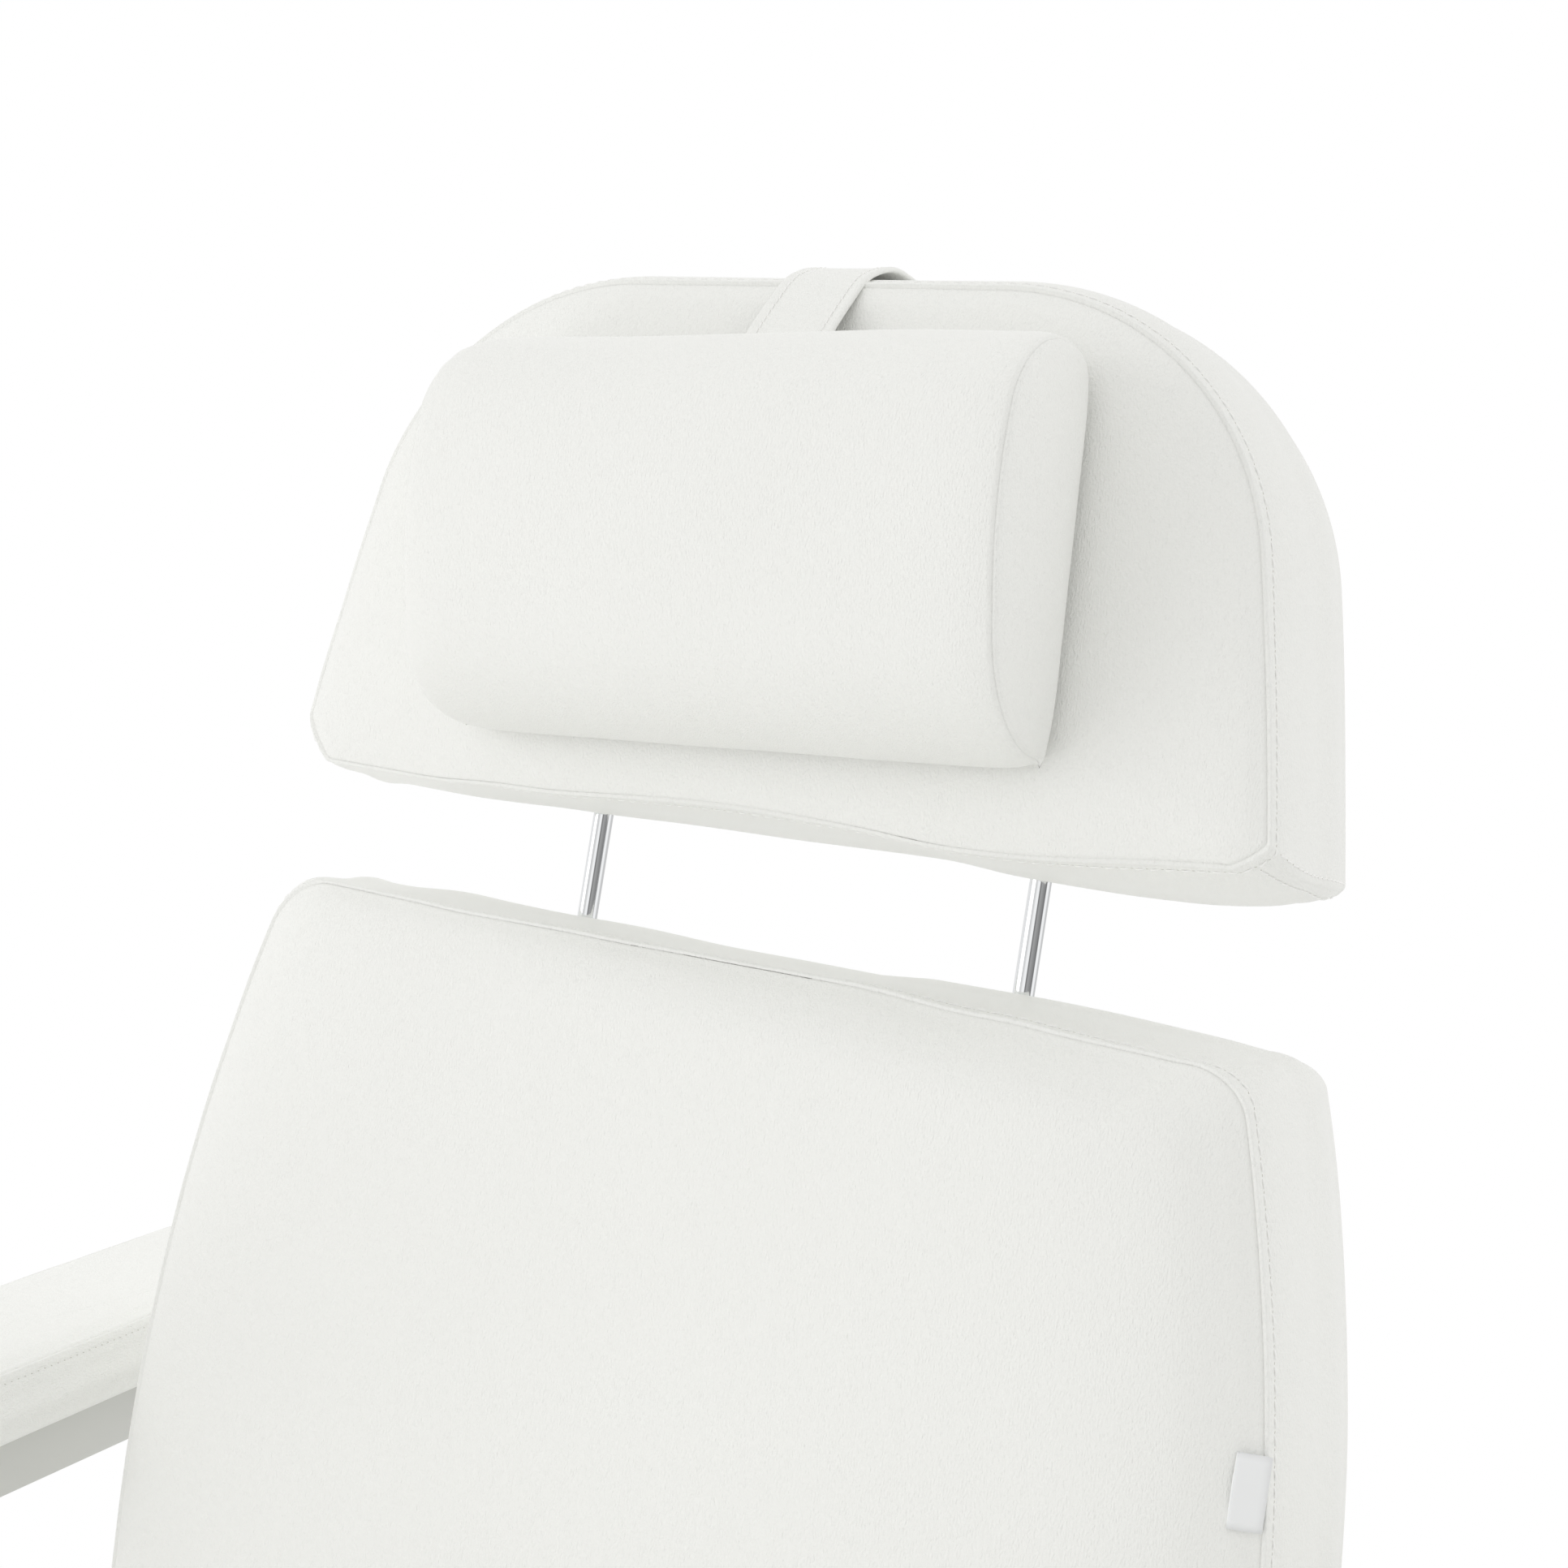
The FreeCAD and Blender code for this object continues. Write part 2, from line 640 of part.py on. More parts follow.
def gas_strut():
    barrel = rod_y(strut_x, rail_mid, strut_radius, strut_front, strut_rear)
    saddles = []
    for y in (strut_front + saddle_inset, strut_rear - saddle_inset):
        block = box(window[0], window[1], y - saddle_thick / 2, y + saddle_thick / 2,
                    rail_foot + saddle_margin, rail_top - saddle_margin)
        saddles.append(block.cut(barrel))
    keep("strut_saddles", saddles)
    shell = barrel.cut(rod_y(strut_x, rail_mid, strut_bore, strut_front + strut_cap,
                             strut_rear - strut_cap))
    keep("strut_barrel", shell.cut(rod_y(strut_x, rail_mid, strut_rod_radius + run_gap,
                                         strut_rear - strut_cap, strut_rear)))
    start = strut_rear - strut_cap - strut_rod_inside
    rod = rod_y(strut_x, rail_mid, strut_rod_radius, start, strut_pin_y)
    rod = rod.fuse(rod_y(strut_x, rail_mid, strut_bore - run_gap, start, start + strut_cap))
    eye = lever_spread - plate_gap
    rod = rod.fuse(rod_x(strut_pin_y, rail_mid, 2 * slot_pin_radius, strut_x - eye, strut_x + eye))
    reach = lever_spread + lever_thick + slot_pin_end
    rod = rod.fuse(rod_x(strut_pin_y, rail_mid, slot_pin_radius, strut_x - reach, strut_x + reach))
    keep("strut_rod", rod.removeSplitter())


def release():
    inner = outer_rail_x + rail_width / 2 - tube_wall - pin_head_thick
    rod = rod_x(release_y, rail_mid, release_rod_radius, inner, release_x + release_rod_end)
    keep("release_lever", rod)
    knob = box(release_x - knob_half, release_x + knob_half, release_y - knob_front, release_y + knob_rear,
               rail_mid - knob_rise, rail_mid + knob_rise)
    knob = knob.makeFillet(knob_round, knob.Edges)
    keep("release_knob", knob.cut(rod))


def hinge_frame(v_tube, v_pivot, ahead):
    """Cross tube of a leaning pad with its two pivot plates, in the pad's own frame."""
    tube = rod_x(v_tube, 0, hinge_tube_radius, -hinge_arm_x, hinge_arm_x)
    tube = tube.cut(rod_x(v_tube, 0, hinge_tube_bore, -hinge_arm_x, hinge_arm_x))
    arm = link_plate((v_tube, 0), (v_pivot, ahead), arm_plate_width,
                     hinge_arm_x, hinge_arm_x + hinge_plate)
    arm = arm.cut(rod_x(v_pivot, ahead, hinge_pin_radius + run_gap,
                        hinge_arm_x, hinge_arm_x + hinge_plate))
    return tube, both(arm)


def frame_bar(v0, v1):
    return tube_y(upright_x - upright_width / 2, upright_x + upright_width / 2, v0, v1,
                  panel_thick - pad_back, board_back)


def wrapped_pad(shape, seam, crown, seam_in, cuts):
    """Cushion with the pocket that takes its board, frame and back panel."""
    pad = cushion(shape, -pad_back, seam, crown, seam_in, band_bulge)
    pad = pad.cut(slab(shape, pad_wall - skin_gap, -pad_back, board_back + board_thick + skin_gap))
    for c in cuts:
        pad = pad.cut(c)
    return pad


def pad_board(shape):
    return slab(shape, pad_wall, board_back, board_back + board_thick)


def pad_panel(shape):
    return slab(shape, pad_wall, -pad_back, panel_thick - pad_back)


def rod_pair(radius, v0, v1):
    return [rod_y(-rod_half, 0, radius, v0, v1), rod_y(rod_half, 0, radius, v0, v1)]


def lever_plates():
    """Twin slotted lever that the strut's pin drives, in the backrest's own frame."""
    turn = math.radians(lever_rest + back_lean)
    d = (-math.cos(turn), -math.sin(turn))

    def at(r):
        return (hinge_v + d[0] * r, hinge_ahead + d[1] * r)

    near = slot_drop - slot_margin
    far = slot_drop / math.cos(math.radians(lever_rest)) + slot_margin
    plates = []
    for x in (strut_x - lever_spread - lever_thick, strut_x + lever_spread):
        neck = link_plate((tube_v, 0), at(near), lever_neck, x, x + lever_thick)
        head = link_plate(at(near), at(far), slot_width + 2 * lever_wall, x, x + lever_thick)
        slot = link_plate(at(near), at(far), slot_width, x, x + lever_thick)
        tube = rod_x(tube_v, 0, hinge_tube_radius, x, x + lever_thick)
        plates.append(neck.fuse(head).cut(slot).cut(tube).removeSplitter())
    return plates


def backrest():
    tube, arms = hinge_frame(tube_v, hinge_v, hinge_ahead)
    bar = frame_bar(tube_v + hinge_tube_radius, upright_top)
    inner = upright_x - upright_width / 2
    cross = tube_x(-inner, inner, guide_foot - cross_bar_height, guide_foot,
                   panel_thick - pad_back, board_back)
    screws = []
    panel = pad_panel(back_shape)
    for v in screw_places:
        shank = rod_z(upright_x, v, screw_radius, -pad_back, panel_thick - pad_back + tube_wall)
        bar = bar.cut(shank)
        panel = panel.cut(shank).cut(mirrored(shank))
        head = rod_z(upright_x, v, screw_head_radius, -pad_back - screw_head_thick, -pad_back)
        rim = [e for e in head.Edges if e.BoundBox.ZMax < -pad_back - screw_head_thick / 2]
        head = head.makeFillet(0.6 * screw_head_thick, rim)
        screws += both(shank.fuse(head))
    keep("back_screws", screws, back_place)
    keep("back_frame", both(bar) + [cross, tube], back_place)
    shaft = rod_x(-arm_shaft_down, -arm_shaft_back, arm_shaft_radius, -link_x, link_x)
    inner, outer = upright_x - shaft_bracket_thick / 2, upright_x + shaft_bracket_thick / 2
    bracket = box(inner, outer, -arm_shaft_down - shaft_bracket_half, -arm_shaft_down + shaft_bracket_half,
                  -arm_shaft_back, panel_thick - pad_back)
    bracket = bracket.fuse(rod_x(-arm_shaft_down, -arm_shaft_back, shaft_bracket_half, inner, outer))
    keep("back_brackets", arms + lever_plates() + both(bracket.cut(shaft).removeSplitter()), back_place)
    journal_end = beam_inner_x + beam_width + plate_gap
    shaft = shaft.fuse(rod_x(-arm_shaft_down, -arm_shaft_back, arm_journal_radius, -journal_end, journal_end))
    keep("arm_shaft", shaft.removeSplitter(), back_place)
    cap_end = journal_end + shaft_cap_thick
    cap = rod_x(-arm_shaft_down, -arm_shaft_back, shaft_cap_radius, journal_end, cap_end)
    rim = [e for e in cap.Edges if e.BoundBox.XMin > (journal_end + cap_end) / 2]
    cap = cap.makeFillet(shaft_cap_thick / 2, rim)
    keep("shaft_caps", both(cap), back_place)
    for side in (-1, 1):
        x = side * upright_x
        half = shaft_bracket_thick / 2 + plate_gap
        tall = shaft_bracket_half + plate_gap
        panel = panel.cut(box(x - half, x + half, -arm_shaft_down - tall, -arm_shaft_down + tall,
                              -pad_back, board_back))
    slot_half = lever_spread + lever_thick + slot_pin_end
    panel = panel.cut(box(strut_x - slot_half, strut_x + slot_half, hinge_v - 2 * lever_neck,
                          tube_v + lever_neck, -pad_back, board_back))
    keep("back_panel", panel, back_place)
    keep("back_board", pad_board(back_shape), back_place)
    guide_top = back_shape["top"] - pad_wall
    guides = [g.cut(rod_y(g.BoundBox.Center.x, 0, guide_bore, guide_foot, guide_top))
              for g in rod_pair(guide_radius, guide_foot, guide_top)]
    keep("rod_guides", guides, back_place)
    bushes = [b.cut(rod_y(b.BoundBox.Center.x, 0, rod_radius + run_gap, guide_foot, guide_top))
              for b in rod_pair(guide_bore, guide_top - bush_length, guide_top)]
    keep("guide_bushes", bushes, back_place)
    cuts = rod_pair(rod_radius + 2 * skin_gap, guide_top - pad_wall, pad_wall)
    cuts.append(rod_x(tube_v, 0, hinge_tube_radius + skin_gap, -hinge_arm_x, hinge_arm_x))
    keep("back_cushion", wrapped_pad(back_shape, pad_seam, pad_crown, back_seam_in, cuts), back_place)
    tag = box(-tag_width, 0, -tag_down - tag_length, -tag_down, 0, tag_thick)
    tag.rotate(Vector(0, 0, 0), Vector(0, 1, 0), tag_lift)
    tag.translate(Vector(back_half_top + tag_along_bow * back_bow, 0, pad_seam + tag_seat))
    keep("sewn_tag", tag, back_place)


def headrest():
    keep("headrest_rods", rod_pair(rod_radius, rod_foot, rod_head), back_place)
    keep("rod_bracket", box(-bracket_half, bracket_half, bracket_foot, bracket_foot + bracket_height,
                            rod_radius, board_back), back_place)
    keep("headrest_board", pad_board(head_shape), back_place)
    keep("headrest_panel", pad_panel(head_shape), back_place)
    cuts = rod_pair(rod_radius + 2 * skin_gap, head_foot - pad_wall, head_foot + 2 * pad_wall)
    keep("headrest_cushion", wrapped_pad(head_shape, pad_seam, pad_crown, head_seam_in, cuts), back_place)


def pillow_section(x, back, scale):
    """Half-moon section: flat back, fullest above the middle, pinched at the foot."""
    deep = pillow_depth * scale

    def p(part, out):
        return Vector(x, pillow_foot + pillow_height * part, back + deep * out)

    return Part.Wire([Part.Arc(p(0.0, 0.0), p(0.12, 0.74), p(0.42, 0.97)).toShape(),
                      Part.Arc(p(0.42, 0.97), p(0.62, 1.03), p(0.82, 0.97)).toShape(),
                      Part.Arc(p(0.82, 0.97), p(0.975, 0.65), p(1.0, 0.0)).toShape(),
                      Part.makeLine(p(1.0, 0.0), p(0.0, 0.0))])


def pillow():
    strap_in = pad_front + 2 * skin_gap
    back = strap_in + strap_thick + skin_gap
    wires = []
    for part, scale in pillow_steps:
        wires.append(pillow_section(pillow_half * part, back, scale))
    body = Part.makeLoft(wires, True, True)
    body.rotate(Vector(0, pillow_foot + pillow_height / 2, 0), Vector(0, 0, 1), pillow_tilt)
    body.translate(Vector(pillow_x, 0, 0))
    keep("neck_pillow", body, back_place)
    top_in = head_top + head_shape["top_bow"] + band_bulge + skin_gap
    back_in = -pad_back - skin_gap
    front_c = (top_in - strap_front_turn, strap_in - strap_front_turn)
    back_c = (top_in - strap_back_turn, back_in + strap_back_turn)

    def p(v, n):
        return Vector(strap_x - strap_half, v, n)

    def quarter(c, r, vs, ns):
        k = r * math.sqrt(0.5)
        return p(c[0] + k * vs, c[1] + k * ns)

    def side(extra):
        """Front leg, turn over the top edge and tail, at a given distance outside the inner face."""
        rf, rb = strap_front_turn + extra, strap_back_turn + extra
        a, b = p(strap_tail, strap_in + extra), p(front_c[0], strap_in + extra)
        c, d = p(top_in + extra, front_c[1]), p(top_in + extra, back_c[1])
        e, f = p(back_c[0], back_in - extra), p(strap_tail, back_in - extra)
        edges = [Part.makeLine(a, b), Part.Arc(b, quarter(front_c, rf, 1, 1), c).toShape(),
                 Part.makeLine(c, d), Part.Arc(d, quarter(back_c, rb, 1, -1), e).toShape(),
                 Part.makeLine(e, f)]
        return a, f, edges

    a0, f0, inner = side(0.0)
    a1, f1, outer = side(strap_thick)
    loop = Part.Wire(Part.__sortEdges__(inner + outer + [Part.makeLine(a0, a1), Part.makeLine(f0, f1)]))
    keep("pillow_strap", Part.Face(loop).extrude(Vector(2 * strap_half, 0, 0)), back_place)


def armrests():
    beam_outer_x = beam_inner_x + beam_width
    beam = tube_y(beam_inner_x, beam_outer_x, beam_front, beam_rear, -beam_below, beam_above)
    lug = link_plate((link_along, -beam_below - tube_wall), (link_along, link_below), link_width + lug_wider,
                     beam_inner_x, beam_inner_x + link_thick)
    lug = lug.cut(box(beam_inner_x, beam_outer_x, beam_front, beam_rear, -beam_below, beam_above))
    pin = rod_x(link_along, link_below, link_pin_radius, link_x - skin_gap, beam_inner_x + link_thick)
    beam = beam.fuse(lug).cut(pin)
    beam = beam.cut(rod_x(0, 0, arm_journal_radius + run_gap, beam_inner_x, beam_outer_x))
    head = rod_x(link_along, link_below, hinge_head * link_pin_radius, link_x - skin_gap - pin_head_thick,
                 link_x - skin_gap)
    pad = cushion(arm_shape, beam_above, beam_above + arm_pad_thick, arm_pad_crown, arm_seam_in, band_bulge)
    pad.translate(Vector(arm_x, 0, 0))
    foot, top = yz(link_foot), yz(link_top)
    link = link_plate(foot, top, link_width, link_x, link_x + link_thick)
    for at in (foot, top):
        link = link.cut(rod_x(at[0], at[1], link_pin_radius + run_gap, link_x, link_x + link_thick))
    pieces = (("arm_beam", beam.removeSplitter(), arm_place), ("arm_pad", pad, arm_place),
              ("arm_link_pin", pin.fuse(head).removeSplitter(), arm_place), ("front_link", link, None))
    for name, shape, place in pieces:
        keep(name + "_left", shape, place)
        keep(name + "_right", mirrored(shape), place)


def legrest():
    v_tube = -hinge_overhang - hinge_tube_in
    tube, arms = hinge_frame(v_tube, -hinge_overhang, leg_hinge_ahead)
    bar = frame_bar(2 * pad_wall - leg_length, v_tube - hinge_tube_radius)
    keep("legrest_frame", [tube] + arms + both(bar), leg_place)
    keep("legrest_board", pad_board(leg_shape), leg_place)
    keep("legrest_panel", pad_panel(leg_shape), leg_place)
    cuts = [rod_x(v_tube, 0, hinge_tube_radius + skin_gap, -hinge_arm_x, hinge_arm_x)]
    keep("legrest_cushion", wrapped_pad(leg_shape, leg_pad_seam, leg_pad_crown, leg_seam_in, cuts), leg_place)


for make in (base, pedal, ram_and_swivel, seat_frame, seat_padding, gas_strut, release,
             backrest, headrest, pillow, armrests, legrest):
    make()

os.makedirs("parts", exist_ok=True)
for name in sorted(solids):
    shape = solids[name]
    if not shape.isValid() or shape.Volume <= 0:
        print("check", name, shape.isValid(), round(shape.Volume, 1))
    shape.exportStep("parts/" + name + ".step")
print(len(solids), "nodes")
for label, point in (("back_origin", back_origin), ("back_pivot", back_pivot), ("leg_pivot", leg_pivot),
                     ("shaft_point", shaft_point), ("link_top", link_top), ("link_foot", link_foot)):
    print(label, round(point.x, 4), round(point.y, 4), round(point.z, 4))
print("strut_pin_y", round(strut_pin_y, 4), "strut_z", rail_mid)
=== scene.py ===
import json
import math
import bpy
import numpy as np
from mathutils import Matrix, Vector, noise


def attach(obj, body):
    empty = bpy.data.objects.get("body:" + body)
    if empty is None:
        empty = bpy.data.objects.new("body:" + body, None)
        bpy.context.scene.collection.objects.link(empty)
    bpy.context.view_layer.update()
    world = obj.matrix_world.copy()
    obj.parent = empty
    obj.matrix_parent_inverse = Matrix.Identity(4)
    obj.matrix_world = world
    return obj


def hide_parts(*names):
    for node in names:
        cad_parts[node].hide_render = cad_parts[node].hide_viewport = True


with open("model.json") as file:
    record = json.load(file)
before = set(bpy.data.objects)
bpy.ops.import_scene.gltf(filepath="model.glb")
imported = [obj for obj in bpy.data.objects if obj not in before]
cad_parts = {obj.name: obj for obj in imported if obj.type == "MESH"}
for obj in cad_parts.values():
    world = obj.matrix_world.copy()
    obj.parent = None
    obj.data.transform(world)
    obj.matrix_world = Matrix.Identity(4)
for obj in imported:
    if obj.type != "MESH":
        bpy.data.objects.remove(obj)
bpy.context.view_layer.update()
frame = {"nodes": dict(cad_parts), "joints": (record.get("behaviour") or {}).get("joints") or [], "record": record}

nodes = frame["nodes"]
record = frame["record"]
jointNamed = {j["name"]: j for j in frame["joints"]}
print("stage: frame loaded,", len(nodes), "nodes")

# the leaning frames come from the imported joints
# pieces are in mm until their mesh is placed; grain depth, floor, lamps and camera are in metres
mm = 0.001
backUp = Vector(jointNamed["headrest_height"]["axis"])
sideways = Vector((1, 0, 0))
backHinge = Vector(jointNamed["backrest_recline"]["pos_m"])
hingeInPad = {"back": (-520.0, 44.0), "leg": (-45.0, 30.0)}


def basis(origin, up, front):
    m = Matrix((sideways, up, front)).transposed().to_4x4()
    m.translation = origin
    return m


def padBasis(hinge, up, at):
    front = sideways.cross(up)
    return basis(hinge - up * at[0] * mm - front * at[1] * mm, up, front)


legTurn = math.radians(50.0)
armTurn = math.radians(-6.7)
backFrame = padBasis(backHinge, backUp, hingeInPad["back"])
legFrame = padBasis(Vector(jointNamed["legrest_raise"]["pos_m"]),
                    Vector((0, math.cos(legTurn), math.sin(legTurn))), hingeInPad["leg"])
armUp = Vector((0, math.cos(armTurn), math.sin(armTurn)))
armFrame = basis(Vector((0, *jointNamed["armrest_left_level"]["pos_m"][1:])), armUp, sideways.cross(armUp))
seatFrame = Matrix.Identity(4)


# materials
def newMaterial(name):
    material = bpy.data.materials.new(name)
    material.use_nodes = True
    tree = material.node_tree
    return material, tree.nodes, tree.links, tree.nodes["Principled BSDF"]


def plain(name, colour, rough):
    material, _, _, shader = newMaterial(name)
    shader.inputs["Base Color"].default_value = (*colour, 1)
    shader.inputs["Roughness"].default_value = rough
    return material


def textured(node, links, source, scale, detail, kind="ShaderNodeTexNoise"):
    tex = node.new(kind)
    tex.inputs["Scale"].default_value = scale
    tex.inputs["Detail"].default_value = detail
    links.new(source, tex.inputs["Vector"])
    return tex


cover = {"rough": 0.42, "specular": 0.34, "creaseScale": 1350.0, "creaseStretch": (1.0, 0.34, 1.0),
         "creaseDetail": 1.0, "pebbleScale": 1000.0, "pebbleDetail": 3.0, "pebbleShare": 0.3,
         "deep": 0.0004}


def leatherette(name, lean, colour, grain=1.0):
    # fine lengthwise creases over a pebble grain, turned to lie along the pad
    material, node, links, shader = newMaterial(name)
    shader.inputs["Base Color"].default_value = (*colour, 1)
    shader.inputs["Roughness"].default_value = cover["rough"]
    shader.inputs["Specular IOR Level"].default_value = cover["specular"]
    coords = node.new("ShaderNodeTexCoord")
    mapping = node.new("ShaderNodeMapping")
    mapping.vector_type = "TEXTURE"
    mapping.inputs["Rotation"].default_value = (lean, 0, 0)
    links.new(coords.outputs["Object"], mapping.inputs["Vector"])
    stretch = node.new("ShaderNodeMapping")
    stretch.inputs["Scale"].default_value = cover["creaseStretch"]
    links.new(mapping.outputs["Vector"], stretch.inputs["Vector"])
    creases = textured(node, links, stretch.outputs["Vector"], cover["creaseScale"], cover["creaseDetail"])
    pebbles = textured(node, links, mapping.outputs["Vector"], cover["pebbleScale"], cover["pebbleDetail"],
                       "ShaderNodeTexVoronoi")
    joined = node.new("ShaderNodeMath")
    joined.operation = "MULTIPLY_ADD"
    joined.inputs[1].default_value = cover["pebbleShare"]
    links.new(pebbles.outputs["Distance"], joined.inputs[0])
    links.new(creases.outputs[0], joined.inputs[2])
    bump = node.new("ShaderNodeBump")
    bump.inputs["Strength"].default_value = grain
    bump.inputs["Distance"].default_value = cover["deep"]
    links.new(joined.outputs[0], bump.inputs["Height"])
    links.new(bump.outputs["Normal"], shader.inputs["Normal"])
    return material


wood = {"stretch": (1.0, 9.0, 9.0), "scale": 9.0, "detail": 5.0, "dark": (0.42, 0.27, 0.14),
        "light": (0.66, 0.48, 0.29), "rough": 0.6}


def plywood(name):
    material, node, links, shader = newMaterial(name)
    coords = node.new("ShaderNodeTexCoord")
    stretch = node.new("ShaderNodeMapping")
    stretch.inputs["Scale"].default_value = wood["stretch"]
    links.new(coords.outputs["Object"], stretch.inputs["Vector"])
    grain = textured(node, links, stretch.outputs["Vector"], wood["scale"], wood["detail"])
    ramp = node.new("ShaderNodeValToRGB")
    ramp.color_ramp.elements[0].color = (*wood["dark"], 1)
    ramp.color_ramp.elements[1].color = (*wood["light"], 1)
    links.new(grain.outputs[0], ramp.inputs["Fac"])
    links.new(ramp.outputs["Color"], shader.inputs["Base Color"])
    shader.inputs["Roughness"].default_value = wood["rough"]
    return material


wear = {"scale": 90.0, "detail": 4.0, "least": 0.7, "most": 1.3}


def brushed(name, colour, rough):
    # faint wear in the sheen
    material, node, links, shader = newMaterial(name)
    coords = node.new("ShaderNodeTexCoord")
    worn = textured(node, links, coords.outputs["Object"], wear["scale"], wear["detail"])
    spread = node.new("ShaderNodeMapRange")
    spread.inputs["To Min"].default_value = rough * wear["least"]
    spread.inputs["To Max"].default_value = rough * wear["most"]
    links.new(worn.outputs[0], spread.inputs["Value"])
    links.new(spread.outputs["Result"], shader.inputs["Roughness"])
    shader.inputs["Base Color"].default_value = (*colour, 1)
    shader.inputs["Metallic"].default_value = 1.0
    return material


white = (0.94, 0.944, 0.92)
backLean = math.atan2(-backUp.y, backUp.z)
padLean = math.pi / 2 + backLean
leather = {"back": leatherette("leatheretteBack", padLean, white),
           "seat": leatherette("leatheretteSeat", 0.0, white),
           "leg": leatherette("leatheretteLeg", legTurn, white),
           "arm": leatherette("leatheretteArm", armTurn, white)}
thread = plain("thread", (0.97, 0.97, 0.955), 0.55)
# needle holes coloured dark grey: painted shade in and beside each hole
paintedHoleShade = plain("paintedHoleShade", (0.62, 0.61, 0.56), 0.8)
finishes = {"leatherette": leather["back"],
            "back_cloth": leatherette("backCloth", padLean, (0.74, 0.74, 0.72), 0.7),
            "label_tape": plain("labelTape", (0.93, 0.94, 0.95), 0.5),
            "chrome": brushed("chrome", (0.86, 0.87, 0.88), 0.06),
            "grey_steel": plain("greyPaint", (0.66, 0.665, 0.64), 0.38),
            "frame_paint": plain("framePaint", (0.62, 0.625, 0.61), 0.4),
            "dark_steel": plain("darkPaint", (0.045, 0.047, 0.05), 0.42),
            "bright_steel": brushed("brightSteel", (0.62, 0.63, 0.64), 0.24),
            "black_plastic": plain("blackPlastic", (0.022, 0.022, 0.024), 0.45),
            "rubber": plain("rubber", (0.03, 0.03, 0.03), 0.75),
            "plywood": plywood("plywood")}
for part in record["subparts"]:
    slots = nodes[part["node"]].data.materials
    slots.clear()
    slots.append(finishes[part["material_slot"]])
print("stage: materials")


# meshes
def addMesh(name, verts, faces, place, material, smooth=True):
    mesh = bpy.data.meshes.new(name)
    spots = np.asarray(verts, float) * mm
    turned = np.asarray(place.to_3x3()) @ spots.T
    mesh.from_pydata((turned.T + np.asarray(place.translation)).tolist(), [], faces)
    mesh.polygons.foreach_set("use_smooth", [smooth] * len(mesh.polygons))
    mesh.validate()
    mesh.update()
    made = bpy.data.objects.new(name, mesh)
    bpy.context.scene.collection.objects.link(made)
    made.data.materials.append(material)
    return made


def tube(rows, columns, start=0, flip=False, ends=False):
    # faces between closed rings of points, and over the first and last ring
    faces = []
    for r in range(rows - 1):
        for c in range(columns):
            a, b = start + r * columns + c, start + r * columns + (c + 1) % columns
            faces.append((b, a, a + columns, b + columns) if flip else (a, b, b + columns, a + columns))
    if ends:
        first = tuple(range(start, start + columns))
        last = tuple(range(start + (rows - 1) * columns, start + rows * columns))
        faces += [first, last[::-1]] if flip else [first[::-1], last]
    return faces


def fan(start, columns, tip, flip=False):
    # faces from a ring of points to one point
    ring = [(start + c, start + (c + 1) % columns) for c in range(columns)]
    return [(b, a, tip) if flip else (a, b, tip) for a, b in ring]


def runAlong(path):
    return np.concatenate(((0,), np.cumsum(np.linalg.norm(np.diff(path, axis=0), axis=1))))


def waves(x, y, z, scale):
    return np.array([noise.noise(Vector((a / scale, b / scale, c / scale)))
                     for a, b, c in zip(x.ravel(), y.ravel(), z.ravel())]).reshape(x.shape)


def step(x, low, high):
    t = np.clip((x - low) / (high - low), 0, 1)
    return t * t * (3 - 2 * t)


def bell(x, at, width):
    return np.exp(-((x - at) / width) ** 2)


def bowedLoop(shape):
    # four bowed sides and the tangent corners between them, as arcs that run counter-clockwise:
    # 0 foot, 1 corner, 2 right side, 3 corner, 4 top, 5 corner, 6 left side, 7 corner
    corners = [(-shape["halfFoot"], shape["foot"]), (shape["halfFoot"], shape["foot"]),
               (shape["halfTop"], shape["top"]), (-shape["halfTop"], shape["top"])]
    bows = [shape["footBow"], shape["sideBow"], shape["topBow"], shape["sideBow"]]
    radii = [shape["footRadius"], shape["footRadius"], shape["topRadius"], shape["topRadius"]]
    sides = []
    for i in range(4):
        p, q = np.array(corners[i]), np.array(corners[(i + 1) % 4])
        length = np.linalg.norm(q - p)
        radius = (length * length / 4 + bows[i] ** 2) / (2 * bows[i])
        out = np.array((q[1] - p[1], p[0] - q[0])) / length
        sides.append(((p + q) / 2 - out * (radius - bows[i]), radius))
    fillets = []
    for i in range(4):
        (ca, ra), (cb, rb), r = sides[i - 1], sides[i], radii[i]
        gap = cb - ca
        d = np.linalg.norm(gap)
        along = (d * d + (ra - r) ** 2 - (rb - r) ** 2) / (2 * d)
        across = math.sqrt(max((ra - r) ** 2 - along * along, 0))
        meets = [ca + gap * along / d + s * across * np.array((-gap[1], gap[0])) / d for s in (1, -1)]
        fillets.append((min(meets, key=lambda m: np.linalg.norm(m - corners[i])), r))

    def angle(centre, at):
        return math.atan2(at[1] - centre[1], at[0] - centre[0])

    arcs = []
    for i in range(4):
        (c, r), (f0, _), (f1, r1) = sides[i], fillets[i], fillets[(i + 1) % 4]
        nextSide = sides[(i + 1) % 4][0]
        a, b, e = angle(c, f0), angle(c, f1), angle(nextSide, f1)
        arcs.append((c, r, a, a + (b - a) % math.tau))
        arcs.append((f1, r1, b, b + (e - b) % math.tau))
    return arcs


